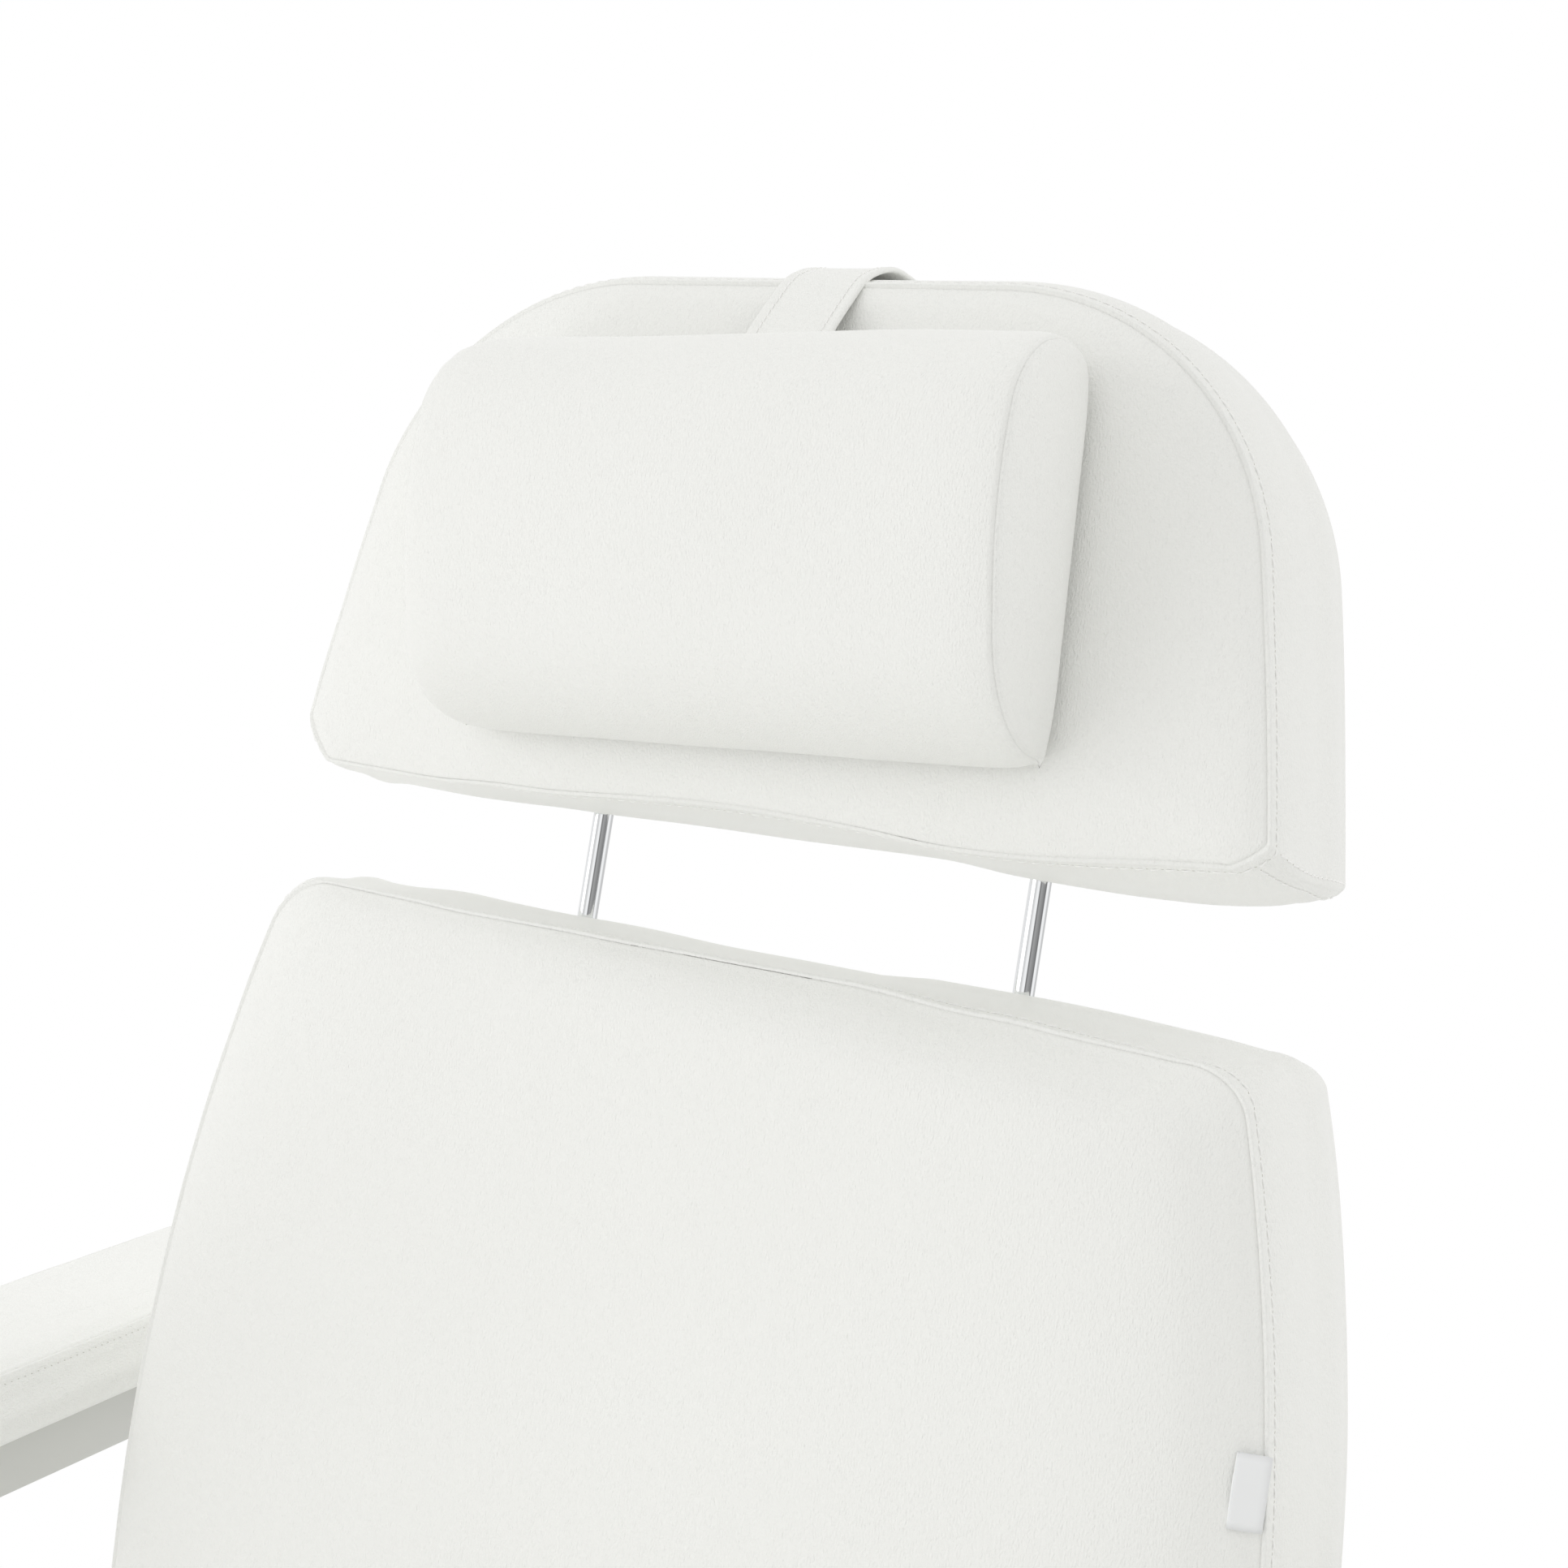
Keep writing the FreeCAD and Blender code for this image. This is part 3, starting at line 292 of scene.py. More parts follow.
def drawnIn(shape, side, foot, top):
    s = dict(shape)
    s["foot"] += foot
    s["top"] -= top
    s["halfFoot"] -= side
    s["halfTop"] -= side
    longScale = (s["top"] - s["foot"]) / (shape["top"] - shape["foot"])
    wideScale = s["halfFoot"] / shape["halfFoot"]
    s["sideBow"] *= longScale
    s["footBow"] *= wideScale
    s["topBow"] *= wideScale
    for end in ("foot", "top"):
        s[end + "Radius"] = shape.get(end + "SeamRadius", min(longScale, wideScale) * shape[end + "Radius"])
    return s


softened = {"half": 12.0, "samples": 13}


def wander(points, at):
    # line through a few given points, softened between them
    x, y = np.array(points, float).T
    spread = np.linspace(-softened["half"], softened["half"], softened["samples"])
    return sum(np.interp(at + d, x, y) for d in spread) / len(spread)


columnsAt = {"pitch": 2.5, "finePitch": 0.7, "fineHalf": 8.0, "leastGap": 0.4, "leastCount": 4}


def stations(outerArcs, innerArcs, seamArcs):
    # columns round the pad, close together where a seam crosses the band
    where = []
    for i, pair in enumerate(zip(outerArcs, innerArcs)):
        length = max(r * (b - a) for _, r, a, b in pair)
        if i in seamArcs:
            half = length / 2
            fineHalf = min(columnsAt["fineHalf"], half)
            right = np.concatenate((np.arange(0, fineHalf, columnsAt["finePitch"]),
                                    np.arange(fineHalf, half, columnsAt["pitch"])))
            spots = np.concatenate((-right[:0:-1], right)) + half
            parts = np.concatenate(((0.0,), spots[spots > columnsAt["leastGap"]] / length))
        else:
            count = max(columnsAt["leastCount"], round(length / columnsAt["pitch"]))
            parts = np.arange(count) / count
        where += [(i, f) for f in parts]
    return where


cutSharp = 0.75
lowerCorners = (1, 7)


def loopPoints(arcs, where, cut=0.0):
    points, normals = [], []
    for i, f in where:
        c, r, a, b = arcs[i]
        t = a + f * (b - a)
        out = np.array((math.cos(t), math.sin(t)))
        p = c + r * out
        if cut and i in lowerCorners:
            # the front panel's lower corners are cut off straight
            start, end = [c + r * np.array((math.cos(u), math.sin(u))) for u in (a, b)]
            bend = c + (start - c) + (end - c)
            first, last = bend + (start - bend) * cut, bend + (end - bend) * cut
            path = [start, first, last, end]
            lengths = np.cumsum([0] + [np.linalg.norm(path[k + 1] - path[k]) for k in range(3)])
            sharp = np.array([np.interp(f * lengths[-1], lengths, [q[k] for q in path]) for k in range(2)])
            p = (1 - cutSharp) * p + cutSharp * sharp
        points.append(p)
        normals.append(out)
    return np.array(points), np.array(normals)


def smoothRound(values, sigma):
    # blurs a closed run of samples, each row by its own width
    freq = np.fft.rfftfreq(values.shape[1])
    gain = np.exp(-2 * (math.pi * freq[None, :] * np.asarray(sigma)[:, None]) ** 2)
    return np.fft.irfft(np.fft.rfft(values, axis=1) * gain, values.shape[1], axis=1)


coverGrid = {"spacing": 3.0, "margin": 6.0, "roundsEach": 5, "leastRounds": 40}


def pinnedCover(loop, run):
    # height of a stretched cover that is held down along a closed line: 0 there, up to 1 inside
    spacing, margin = coverGrid["spacing"], coverGrid["margin"]
    low = loop.min(0) - margin
    x = np.arange(low[0], loop[:, 0].max() + margin, spacing)
    y = np.arange(low[1], loop[:, 1].max() + margin, spacing)
    gridX, gridY = np.meshgrid(x, y)
    inside = np.zeros(gridX.shape, bool)
    for a, b in zip(loop, np.roll(loop, -1, 0)):
        if a[1] != b[1]:
            between = (gridY < a[1]) != (gridY < b[1])
            inside ^= between & (gridX < a[0] + (gridY - a[1]) * (b[0] - a[0]) / (b[1] - a[1]))
    pull = (run / spacing) ** 2
    rounds = int(coverGrid["roundsEach"] * pull) + coverGrid["leastRounds"]
    height = np.zeros(gridX.shape)
    for _ in range(rounds):
        around = sum(np.roll(height, way, axis) for axis in (0, 1) for way in (1, -1))
        height = np.where(inside, (1 + pull * around) / (1 + 4 * pull), 0.0)
    height /= height.max()

    def sample(at):
        u, v = (at[..., 0] - low[0]) / spacing, (at[..., 1] - low[1]) / spacing
        i, j = np.floor(u).astype(int), np.floor(v).astype(int)
        a, b = u - i, v - j
        return ((height[j, i] * (1 - a) + height[j, i + 1] * a) * (1 - b)
                + (height[j + 1, i] * (1 - a) + height[j + 1, i + 1] * a) * b)

    return sample


def surfaceNormals(p):
    around = np.roll(p, -1, 1) - np.roll(p, 1, 1)
    across = np.gradient(p, axis=0)
    n = np.cross(around, across)
    return n / np.maximum(np.linalg.norm(n, axis=2, keepdims=True), 1e-9)


# all sizes of a seam count from its line, outwards over the band
seam = {"groove": 1.0, "grooveWidth": 0.7, "lipAngle": 24.0, "lip": 0.6, "lipAt": 0.85, "lipWidth": 0.6,
        "strip": 0.75, "stripFrom": (0.1, 1.0), "stripTo": (5.2, 7.6), "stripWave": 0.35, "waveSize": 38.0,
        "stitchAt": 5.6, "stitchPitch": 6.5, "stitchDip": 0.8, "stitchWidth": 1.2, "stitchEven": 0.75,
        "pucker": 0.22, "puckerAt": 9.0, "puckerWidth": 4.0, "puckerEven": 0.6,
        "panelWave": 0.3, "panelWaveAt": 6.0, "panelWaveWidth": 5.0, "lumpsFull": 14.0, "seedStep": 900}
# rings of a stitch: place along it, share of its radius, lift in radii
sewing = {"sunk": 0.1, "sides": 6, "ahead": 0.5,
          "thread": {"length": 4.8, "radius": 0.45, "slant": 0.7, "at": 0.5,
                     "rings": ((-0.5, 0.35, -0.6), (-0.36, 0.95, 0.7), (0.0, 1.0, 1.2), (0.36, 0.95, 0.7),
                               (0.5, 0.35, -0.6))},
          # the holes are short dark-grey marks set to one side of the threads, painted shade
          "hole": {"length": 1.8, "radius": 0.38, "slant": -0.6, "at": 1.0,
                   "rings": ((-0.5, 0.3, -0.3), (-0.2, 0.9, -0.2), (0.2, 0.8, -0.2), (0.5, 0.25, -0.3))}}


def stitches(name, path, normals, place, closed=True, pitch=seam["stitchPitch"], kinds=("thread", "hole")):
    # short raised threads set end to end along a line on the cover, with a needle hole at each end drawn in dark
    # grey as painted shade
    if closed:
        path = np.vstack((path, path[:1]))
        normals = np.vstack((normals, normals[:1]))
    run = runAlong(path)
    sides, near = sewing["sides"], sewing["ahead"]
    count = max(2, int(run[-1] / pitch))
    pitch = run[-1] / count
    verts, faces, dark = [], [], []

    def at(s):
        p = np.array([np.interp(s, run, path[:, k]) for k in range(3)])
        n = np.array([np.interp(s, run, normals[:, k]) for k in range(3)])
        return p, n / np.linalg.norm(n)

    for kind in kinds:
        sizes = sewing[kind]
        radius, rings = sizes["radius"], sizes["rings"]
        for i in range(count):
            middle = (i + sizes["at"]) * pitch
            base = len(verts)
            for part, fat, lift in rings:
                s = min(middle + part * sizes["length"], run[-1])
                p, n = at(s)
                ahead = at(min(s + near, run[-1]))[0] - at(max(s - near, 0))[0]
                ahead /= np.linalg.norm(ahead)
                side = np.cross(n, ahead)
                p = p + side * sizes["slant"] * part + n * (radius * lift - sewing["sunk"])
                for k in range(sides):
                    turn = math.tau * k / sides
                    verts.append(p + radius * fat * (side * math.cos(turn) + n * math.sin(turn)))
            made = tube(len(rings), sides, base, ends=True)
            faces += made
            # faces of the holes take the second material, the painted shade
            dark += [int(kind == "hole")] * len(made)
    sewn = addMesh(name, verts, faces, place, thread)
    sewn.data.materials.append(paintedHoleShade)
    sewn.data.polygons.foreach_set("material_index", dark)
    return sewn


# rows of points by their distance from the seam, and the points of the band's section
rowsAt = {"band": (0, 0.35, 0.75, 1.3, 2.1, 3.2, 4.3, 5.0, 5.6, 6.2, 7.0, 8.2, 10, 12.5, 16, 20),
          "bandRest": 25, "panel": (0.35, 0.8, 1.5, 2.4, 3.6, 5.2, 7.5, 10.5, 14.5, 20, 27, 36, 47),
          "panelShare": 0.55, "panelRest": 13}
sectionPoints = {"lip": 50, "side": 60, "roll": 24}
# how far in from the seam the panel's forms begin and are full
fullAt = {"crown": (0, 8), "dish": (6, 60), "swell": (0, 30)}
rightSide = 0.6  # share of the half width past which the edge is the right side
# strip that covers a lower corner of the band
cornerStrip = {"half": 4.0, "high": 0.55, "edge": (3.9, 5.6), "dip": 0.4, "dipWidth": 0.8, "sideDip": 0.45,
               "sideWidth": 0.9, "from": (0.5, 2.0), "toEnd": (22, 12), "stitchFrom": 7.0, "stitchToEnd": 16,
               "stitchPitch": 4.6}


def boxedPad(name, shape, place, material):
    # cover of a boxed foam pad: front panel, seam, topstitched band, rolled back edge
    back, front = shape["back"], shape["seam"]
    cornerSeams = shape.get("cornerSeams", ())
    outerArcs = bowedLoop(shape)
    innerArcs = bowedLoop(drawnIn(shape, *shape["seamIn"]))
    where = stations(outerArcs, innerArcs, cornerSeams)
    outer, outward = loopPoints(outerArcs, where)
    inner, _ = loopPoints(innerArcs, where, shape.get("cut", 0.0))
    # hand-cut edges wander a little up and down
    atFoot = np.array([{0: 1.0, 1: 1 - f, 7: f}.get(i, 0.0) for i, f in where])
    atTop = np.array([{4: 1.0, 3: f, 5: 1 - f}.get(i, 0.0) for i, f in where])
    for key, loop, share in (("footSeam", inner, atFoot), ("topSeam", inner, atTop),
                             ("footEdge", outer, atFoot), ("topEdge", outer, atTop)):
        if key in shape:
            loop[:, 1] += share * wander(shape[key], loop[:, 0])
    if "leftSeam" in shape:
        shift, start, full = shape["leftSeam"]
        inner[:, 0] += shift * step(-inner[:, 0], start, full)
    columns = len(where)
    run = runAlong(outer)
    centreAt = np.array((0.0, (shape["foot"] + shape["top"]) / 2))
    reach = np.einsum("ij,ij->i", inner - centreAt, outward)

    # band, as one dense section per column, then sampled at set distances from the seam
    depth = shape["shoulder"] * (front - back)
    roll = shape["backRoll"]
    turn = np.linspace(math.radians(seam["lipAngle"]), math.pi / 2, sectionPoints["lip"])
    w = np.linspace(0, 1, sectionPoints["side"])[1:]
    psi = np.linspace(0, math.pi / 2, sectionPoints["roll"])[1:]
    blendIn = np.concatenate(((np.sin(turn) - np.sin(turn[0])) / (1 - np.sin(turn[0])),
                              np.ones(len(w) + len(psi) + 2)))
    out = np.concatenate((np.zeros(len(turn)), shape["bulge"] * np.sin(math.pi * w) ** 2,
                          roll * (np.cos(psi) - 1), (-shape["rim"], -shape["rim"])))
    level = np.concatenate((front - depth * (np.cos(turn[0]) - np.cos(turn)) / np.cos(turn[0]),
                            front - depth + w * (back + roll - front + depth),
                            back + roll * (1 - np.sin(psi)), (back, back + shape["tuck"])))
    nearSeam = np.array(rowsAt["band"])
    farParts = np.linspace(0, 1, rowsAt["bandRest"] + 1)[1:]
    bandRows = len(nearSeam) + len(farParts)
    band = np.zeros((bandRows, columns, 3))
    bandAway = np.zeros((bandRows, columns))
    wide = np.linalg.norm(outer - inner, axis=1)
    for j in range(columns):
        q = blendIn * wide[j] + out
        away = runAlong(np.stack((q, level), 1))
        at = np.concatenate((nearSeam, nearSeam[-1] + farParts * (away[-1] - nearSeam[-1])))
        share, push = np.interp(at, away, blendIn), np.interp(at, away, out)
        band[:, j, :2] = inner[j] + (outer[j] - inner[j]) * share[:, None] + outward[j] * push[:, None]
        band[:, j, 2] = np.interp(at, away, level)
        bandAway[:, j] = at

    # front panel, from the seam to the middle
    inside = np.array(rowsAt["panel"])
    inside = inside[inside < rowsAt["panelShare"] * reach.min()]
    rho = [1 - d / reach for d in inside]
    rho += [rho[-1] * k for k in np.linspace(1, 0, rowsAt["panelRest"] + 2)[1:-1]]
    rho = np.array(rho)
    panelAway = (1 - rho) * reach
    panel = np.zeros((len(rho), columns, 3))
    panel[:, :, :2] = centreAt + rho[:, :, None] * (inner - centreAt)
    edge, crown = shape["edge"], shape["crown"] - shape["edge"]
    rise = edge * (1 - np.exp(-panelAway / shape["edgeRun"]))
    rise += crown * pinnedCover(inner, shape["crownRun"])(panel[:, :, :2]) * step(panelAway, *fullAt["crown"])
    if "dish" in shape:
        deep, half, lowest = shape["dish"]
        rise -= (deep * bell(panel[:, :, 0], 0, half) * bell(panel[:, :, 1], *lowest)
                 * step(panelAway, *fullAt["dish"]))
    if "swell" in shape:
        # fuller towards the right side
        high, near, far = shape["swell"]
        right = inner[inner[:, 0] > rightSide * inner[:, 0].max()]
        right = right[np.argsort(right[:, 1])]
        fromRight = np.interp(panel[:, :, 1], right[:, 1], right[:, 0]) - panel[:, :, 0]
        rise += (high * (1 - np.clip(1 - fromRight / near, 0, 1) ** 2) * (1 - step(fromRight, near, far))
                 * step(panelAway, *fullAt["swell"]))
    panel[:, :, 2] = front + rise
    p = np.concatenate((band[::-1], panel))
    away = np.concatenate((-bandAway[::-1], panelAway))
    n = surfaceNormals(p)

    # seam groove, folded strip, stitch dents and the slight unevenness of a stretched cover
    off = -away
    tuckWave = waves(run, 0 * run, 0 * run + shape["seed"], seam["waveSize"])[None, :]
    tick = 0.5 + 0.5 * np.cos(math.tau * run / seam["stitchPitch"])[None, :]
    detail = -seam["groove"] * bell(away, 0, seam["grooveWidth"])
    detail = detail + (seam["strip"] * step(off, *seam["stripFrom"]) * (1 - step(off, *seam["stripTo"]))
                       * (1 + seam["stripWave"] * tuckWave))
    detail += seam["lip"] * bell(off, seam["lipAt"], seam["lipWidth"])
    detail -= (seam["stitchDip"] * bell(off, seam["stitchAt"], seam["stitchWidth"])
               * (seam["stitchEven"] + (1 - seam["stitchEven"]) * tick))
    detail += (seam["pucker"] * bell(off, seam["puckerAt"], seam["puckerWidth"]) * tick
               * (seam["puckerEven"] + tuckWave))
    detail += seam["panelWave"] * bell(away, seam["panelWaveAt"], seam["panelWaveWidth"]) * tuckWave
    corners = {}
    bandEnd = bandAway.max()
    for arc in cornerSeams:
        middle = run[[k for k, s in enumerate(where) if s[0] == arc]].mean()
        corners[arc] = middle + shape["cornerShift"] * (1 if arc < 4 else -1)
        beside = np.abs(run - corners[arc])[None, :]
        fadeOut = [bandEnd - d for d in cornerStrip["toEnd"]]
        raised = (cornerStrip["high"] * (1 - step(beside, *cornerStrip["edge"]))
                  - cornerStrip["dip"] * bell(beside, 0, cornerStrip["dipWidth"])
                  - cornerStrip["sideDip"] * bell(beside, cornerStrip["half"], cornerStrip["sideWidth"]))
        detail += step(off, *cornerStrip["from"]) * (1 - step(off, *fadeOut)) * raised
    lumps = waves(p[:, :, 0], p[:, :, 1], p[:, :, 2] + seam["seedStep"] * shape["seed"], shape["lumpSize"])
    detail += shape["lump"] * lumps * step(np.abs(away), 0.0, seam["lumpsFull"])
    p = p + n * detail[:, :, None]
    rows = len(p)
    verts = list(p.reshape(-1, 3))
    faces = tube(rows, columns)
    verts.append(np.array((*centreAt, p[-1, :, 2].mean())))
    faces += fan((rows - 1) * columns, columns, len(verts) - 1)
    if shape.get("closed"):
        verts.append(np.array((*centreAt, back)))
        faces += fan(0, columns, len(verts) - 1, flip=True)
    pad = addMesh(name, verts, faces, place, material)
    n = surfaceNormals(p)
    row = bandRows - 1 - int(np.argmin(np.abs(nearSeam - seam["stitchAt"])))
    sewn = [stitches(name + "Stitches", p[row], n[row], place, **shape.get("sewing", {}))]
    for arc in cornerSeams:
        for label, side in (("A", -cornerStrip["half"]), ("B", cornerStrip["half"])):
            column = int(np.argmin(np.abs(run - corners[arc] - side)))
            upTo = [r for r in range(bandRows)
                    if cornerStrip["stitchFrom"] < off[r, column] < bandEnd - cornerStrip["stitchToEnd"]]
            sewn.append(stitches(name + "Corner%d%s" % (arc, label), p[upTo, column], n[upTo, column], place,
                                 closed=False, pitch=cornerStrip["stitchPitch"]))
    print("stage:", name, rows, "x", columns)
    return pad, sewn


def settle(pad, extras, body, node):
    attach(pad, body)
    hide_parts(node)
    for extra in extras:
        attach(extra, body)


# what the boxed pads share; lists hold (place across, height moved) along an edge or seam, in mm
boxed = {"back": -13.0, "shoulder": 0.42, "bulge": 2.5, "backRoll": 8.0, "rim": 9.6, "tuck": 3.0, "lump": 1.1,
         "lumpSize": 85.0}

headrest = {**boxed, "foot": 54.5, "top": 310.0, "halfFoot": 256.5, "halfTop": 208.7, "sideBow": 4.0,
            "footBow": 0.6, "topBow": 0.8, "footRadius": 14.0, "topRadius": 143.0, "footSeamRadius": 17.0,
            "seamIn": (8.5, 6.0, 11.0), "cut": 0.85, "leftSeam": (-1.2, 150, 250),
            "footSeam": ((-235, -3.3), (-182, -4.5), (-163, -5.0), (-134, -3.0), (-96, -2.6), (-37, 1.7),
                         (-4, 3.0), (27, 2.7), (62, 1.4), (83, -0.1), (103, -1.7), (123, -1.4), (143, -0.7),
                         (162, 1.0), (193, 4.5), (216, 6.4), (240, 7.9)),
            "footEdge": ((-256, -4.6), (-249, -2.4), (-243, -0.9), (-235, 0.1), (-217, -0.6), (-185, -1.8),
                         (-155, -1.5), (-134, -0.3), (-39, 1.5), (6, 2.3), (49, 2.7), (88, 3.2), (106, 1.2),
                         (130, 0.4), (169, -0.4), (206, 0.9), (220, 2.5), (237, 4.6), (243, 6.6), (250, 10.0),
                         (256, 14.0)),
            "cornerSeams": lowerCorners, "cornerShift": 3.5, "seam": 82.0, "edge": 3.4, "edgeRun": 9.0,
            "crown": 8.5, "crownRun": 32.0, "seed": 1.0}
headPad, headSewn = boxedPad("headrestPad", headrest, backFrame, leather["back"])
settle(headPad, headSewn, "headrest", "headrest_cushion")

backrest = {**boxed, "foot": -565.0, "top": -2.5, "halfFoot": 255.0, "halfTop": 255.0, "sideBow": 43.6,
            "footBow": 1.0, "topBow": 0.5, "footRadius": 45.0, "topRadius": 20.0, "topSeamRadius": 32.0,
            "seamIn": (8.5, 10.0, 4.0), "leftSeam": (4.0, 150, 250),
            "topSeam": ((-247, 3.4), (-215, 3.3), (-205, 3.1), (-192, 2.5), (-168, 2.1), (-156, 1.5),
                        (-133, 0.6), (-110, 0.9), (-77, 0.9), (-45, 0.3), (-7, 0.4), (81, 0.2), (125, -3.0),
                        (150, -2.8), (174, -4.5), (205, -5.2), (240, -6.5)),
            "topEdge": ((-256, 4.4), (-249, 2.2), (-243, 0.7), (-232, -0.4), (-217, -0.8), (-206, -0.3),
                        (-196, 0.5), (-185, 1.3), (-160, 0.4), (-124, -0.2), (-76, -0.2), (-30, -2.2),
                        (15, -1.7), (58, -2.4), (66, -2.6), (72, -0.2), (99, 0.0), (139, 0.0), (177, -0.8),
                        (214, -2.7), (228, -3.8), (237, -4.7), (242, -5.7), (248, -5.7), (252, -5.6),
                        (256, -7.5)),
            "seam": 82.0, "edge": 4.2, "edgeRun": 11.0, "crown": 11.5, "crownRun": 34.0,
            "dish": (4.5, 150.0, (-300.0, 260.0)), "swell": (10.0, 85.0, 430.0), "seed": 2.0}
backPad, backSewn = boxedPad("backrestPad", backrest, backFrame, leather["back"])
settle(backPad, backSewn, "backrest", "back_cushion")

seat = {**boxed, "foot": -242.0, "top": 227.0, "halfFoot": 276.0, "halfTop": 276.0, "sideBow": 12.0,
        "footBow": 1.5, "topBow": 1.0, "footRadius": 45.0, "topRadius": 40.0, "seamIn": (10.0, 10.0, 10.0),
        "back": 393.0, "seam": 510.0, "shoulder": 0.3, "bulge": 1.8, "edge": 3.0, "edgeRun": 5.0,
        "crown": 11.0, "crownRun": 46.0, "dish": (5.0, 150.0, (0.0, 170.0)), "lump": 1.2, "seed": 3.0}
seatPad, seatSewn = boxedPad("seatPad", seat, seatFrame, leather["seat"])

# room at the rear lower edge for the recline lever
leverRoom = {"atX": 142.5, "half": 18.0, "soft": 14.0, "deep": 7.0, "behind": 150.0, "full": 403.0,
             "none": 428.0}
spots = np.array([v.co for v in seatPad.data.vertices]) / mm
beside = np.abs(spots[:, 0] - leverRoom["atX"])
push = leverRoom["deep"] * (1 - step(beside, leverRoom["half"], leverRoom["half"] + leverRoom["soft"]))
push *= (spots[:, 1] > leverRoom["behind"]) * (1 - step(spots[:, 2], leverRoom["full"], leverRoom["none"]))
spots[:, 1] -= push
seatPad.data.vertices.foreach_set("co", (spots * mm).ravel())
settle(seatPad, seatSewn, "seat", "seat_cushion")

legrest = {**boxed, "foot": -445.0, "top": 0.0, "halfFoot": 246.0, "halfTop": 255.0, "sideBow": 8.0,
           "footBow": 4.0, "topBow": 1.0, "footRadius": 60.0, "topRadius": 40.0, "seamIn": (12.0, 12.0, 12.0),
           "seam": 66.0, "edge": 3.0, "edgeRun": 5.0, "crown": 11.0, "crownRun": 46.0,
           "dish": (4.0, 150.0, (-220.0, 200.0)), "seed": 4.0}
legPad, legSewn = boxedPad("legrestPad", legrest, legFrame, leather["leg"])
settle(legPad, legSewn, "legrest", "legrest_cushion")

armPad = {"foot": -485.0, "top": 60.0, "halfFoot": 48.0, "halfTop": 48.0, "sideBow": 1.5, "footBow": 9.0,
          "topBow": 2.0, "footRadius": 24.0, "topRadius": 14.0, "seamIn": (3.0, 3.0, 3.0), "back": 15.2,
          "seam": 54.0, "shoulder": 0.3, "bulge": 2.5, "backRoll": 5.0, "rim": 6.0, "tuck": 0.0, "edge": 1.2,
          "edgeRun": 4.0, "crown": 6.0, "crownRun": 16.0, "lump": 0.5, "lumpSize": 60.0, "closed": True,
          # the arm's topstitch is drawn as the dark hole marks only, painted shade
          "sewing": {"pitch": 4.3, "kinds": ("hole",)}}
armX = 394.0
for side, sign in (("left", 1), ("right", -1)):
    place = armFrame.copy()
    place.translation.x += sign * armX * mm
    pad, sewn = boxedPad("armPad" + side.title(), dict(armPad, seed=5.0 + sign), place, leather["arm"])
    settle(pad, sewn, "armrest_" + side, "arm_pad_" + side)


def threePointArc(a, b, c, count):
    # points on the circle through three points, from the first to the last
    a, b, c = (np.array(p, float) for p in (a, b, c))
    m = np.array((b - a, c - b)) * 2
    centre = np.linalg.solve(m, np.array((b @ b - a @ a, c @ c - b @ b)))
    radius = np.linalg.norm(a - centre)
    start, mid, end = (math.atan2(*(p - centre)[::-1]) for p in (a, b, c))
    sweep = (end - start) % math.tau
    if (mid - start) % math.tau > sweep:
        sweep -= math.tau
    turns = start + np.linspace(0, sweep, count)
    return centre + radius * np.stack((np.cos(turns), np.sin(turns)), 1)


# bows are arcs from the lower to the upper edge, in shares of height and depth
pillow = {"half": 143.0, "atX": 5.0, "foot": 87.5, "height": 174.0, "depth": 76.0, "back": 93.9, "tilt": 2.7,
          "bows": (((0, 0), (0.085, 0.66), (0.3, 0.93)), ((0.3, 0.93), (0.56, 1.03), (0.82, 0.97)),
                   ((0.82, 0.97), (0.975, 0.65), (1, 0))),
          "arcPoints": 60, "flatPoints": 40, "columns": 240, "softEdge": 2.2, "middle": (0.55, 0.38),
          "fuller": 0.025,
          "fromEnd": (0, 0.4, 0.9, 1.6, 2.6, 4, 6, 9, 13, 18, 25, 34, 46, 60, 78, 98, 120),
          "endRings": (0.993, 0.98, 0.96, 0.93, 0.89, 0.83, 0.74, 0.62, 0.47, 0.3, 0.12),
          "endBulge": 9.0, "endPower": 0.7, "endReach": 60, "seamIn": 0.955, "seamRun": 7.0, "groove": 1.3,
          "grooveWidth": 0.8, "pucker": 0.5, "puckerSize": 7.0, "puckerRun": 9.0, "puckerFull": 2,
          "lump": 1.4, "lumpSize": 70.0, "lumpsFull": 20, "lumpsAbove": (2, 16), "seeds": (3, 77),
          "tip": 5.0, "tipAlong": 3.0, "tipAcross": 1.6, "higher": 1.5, "higherLeft": 0.7,
          "higherOver": (0.55, 0.95), "wider": 6.5, "widerOver": (0.4, 1.0), "widerBelow": (0.0, 0.3),
          "fill": 0.7}


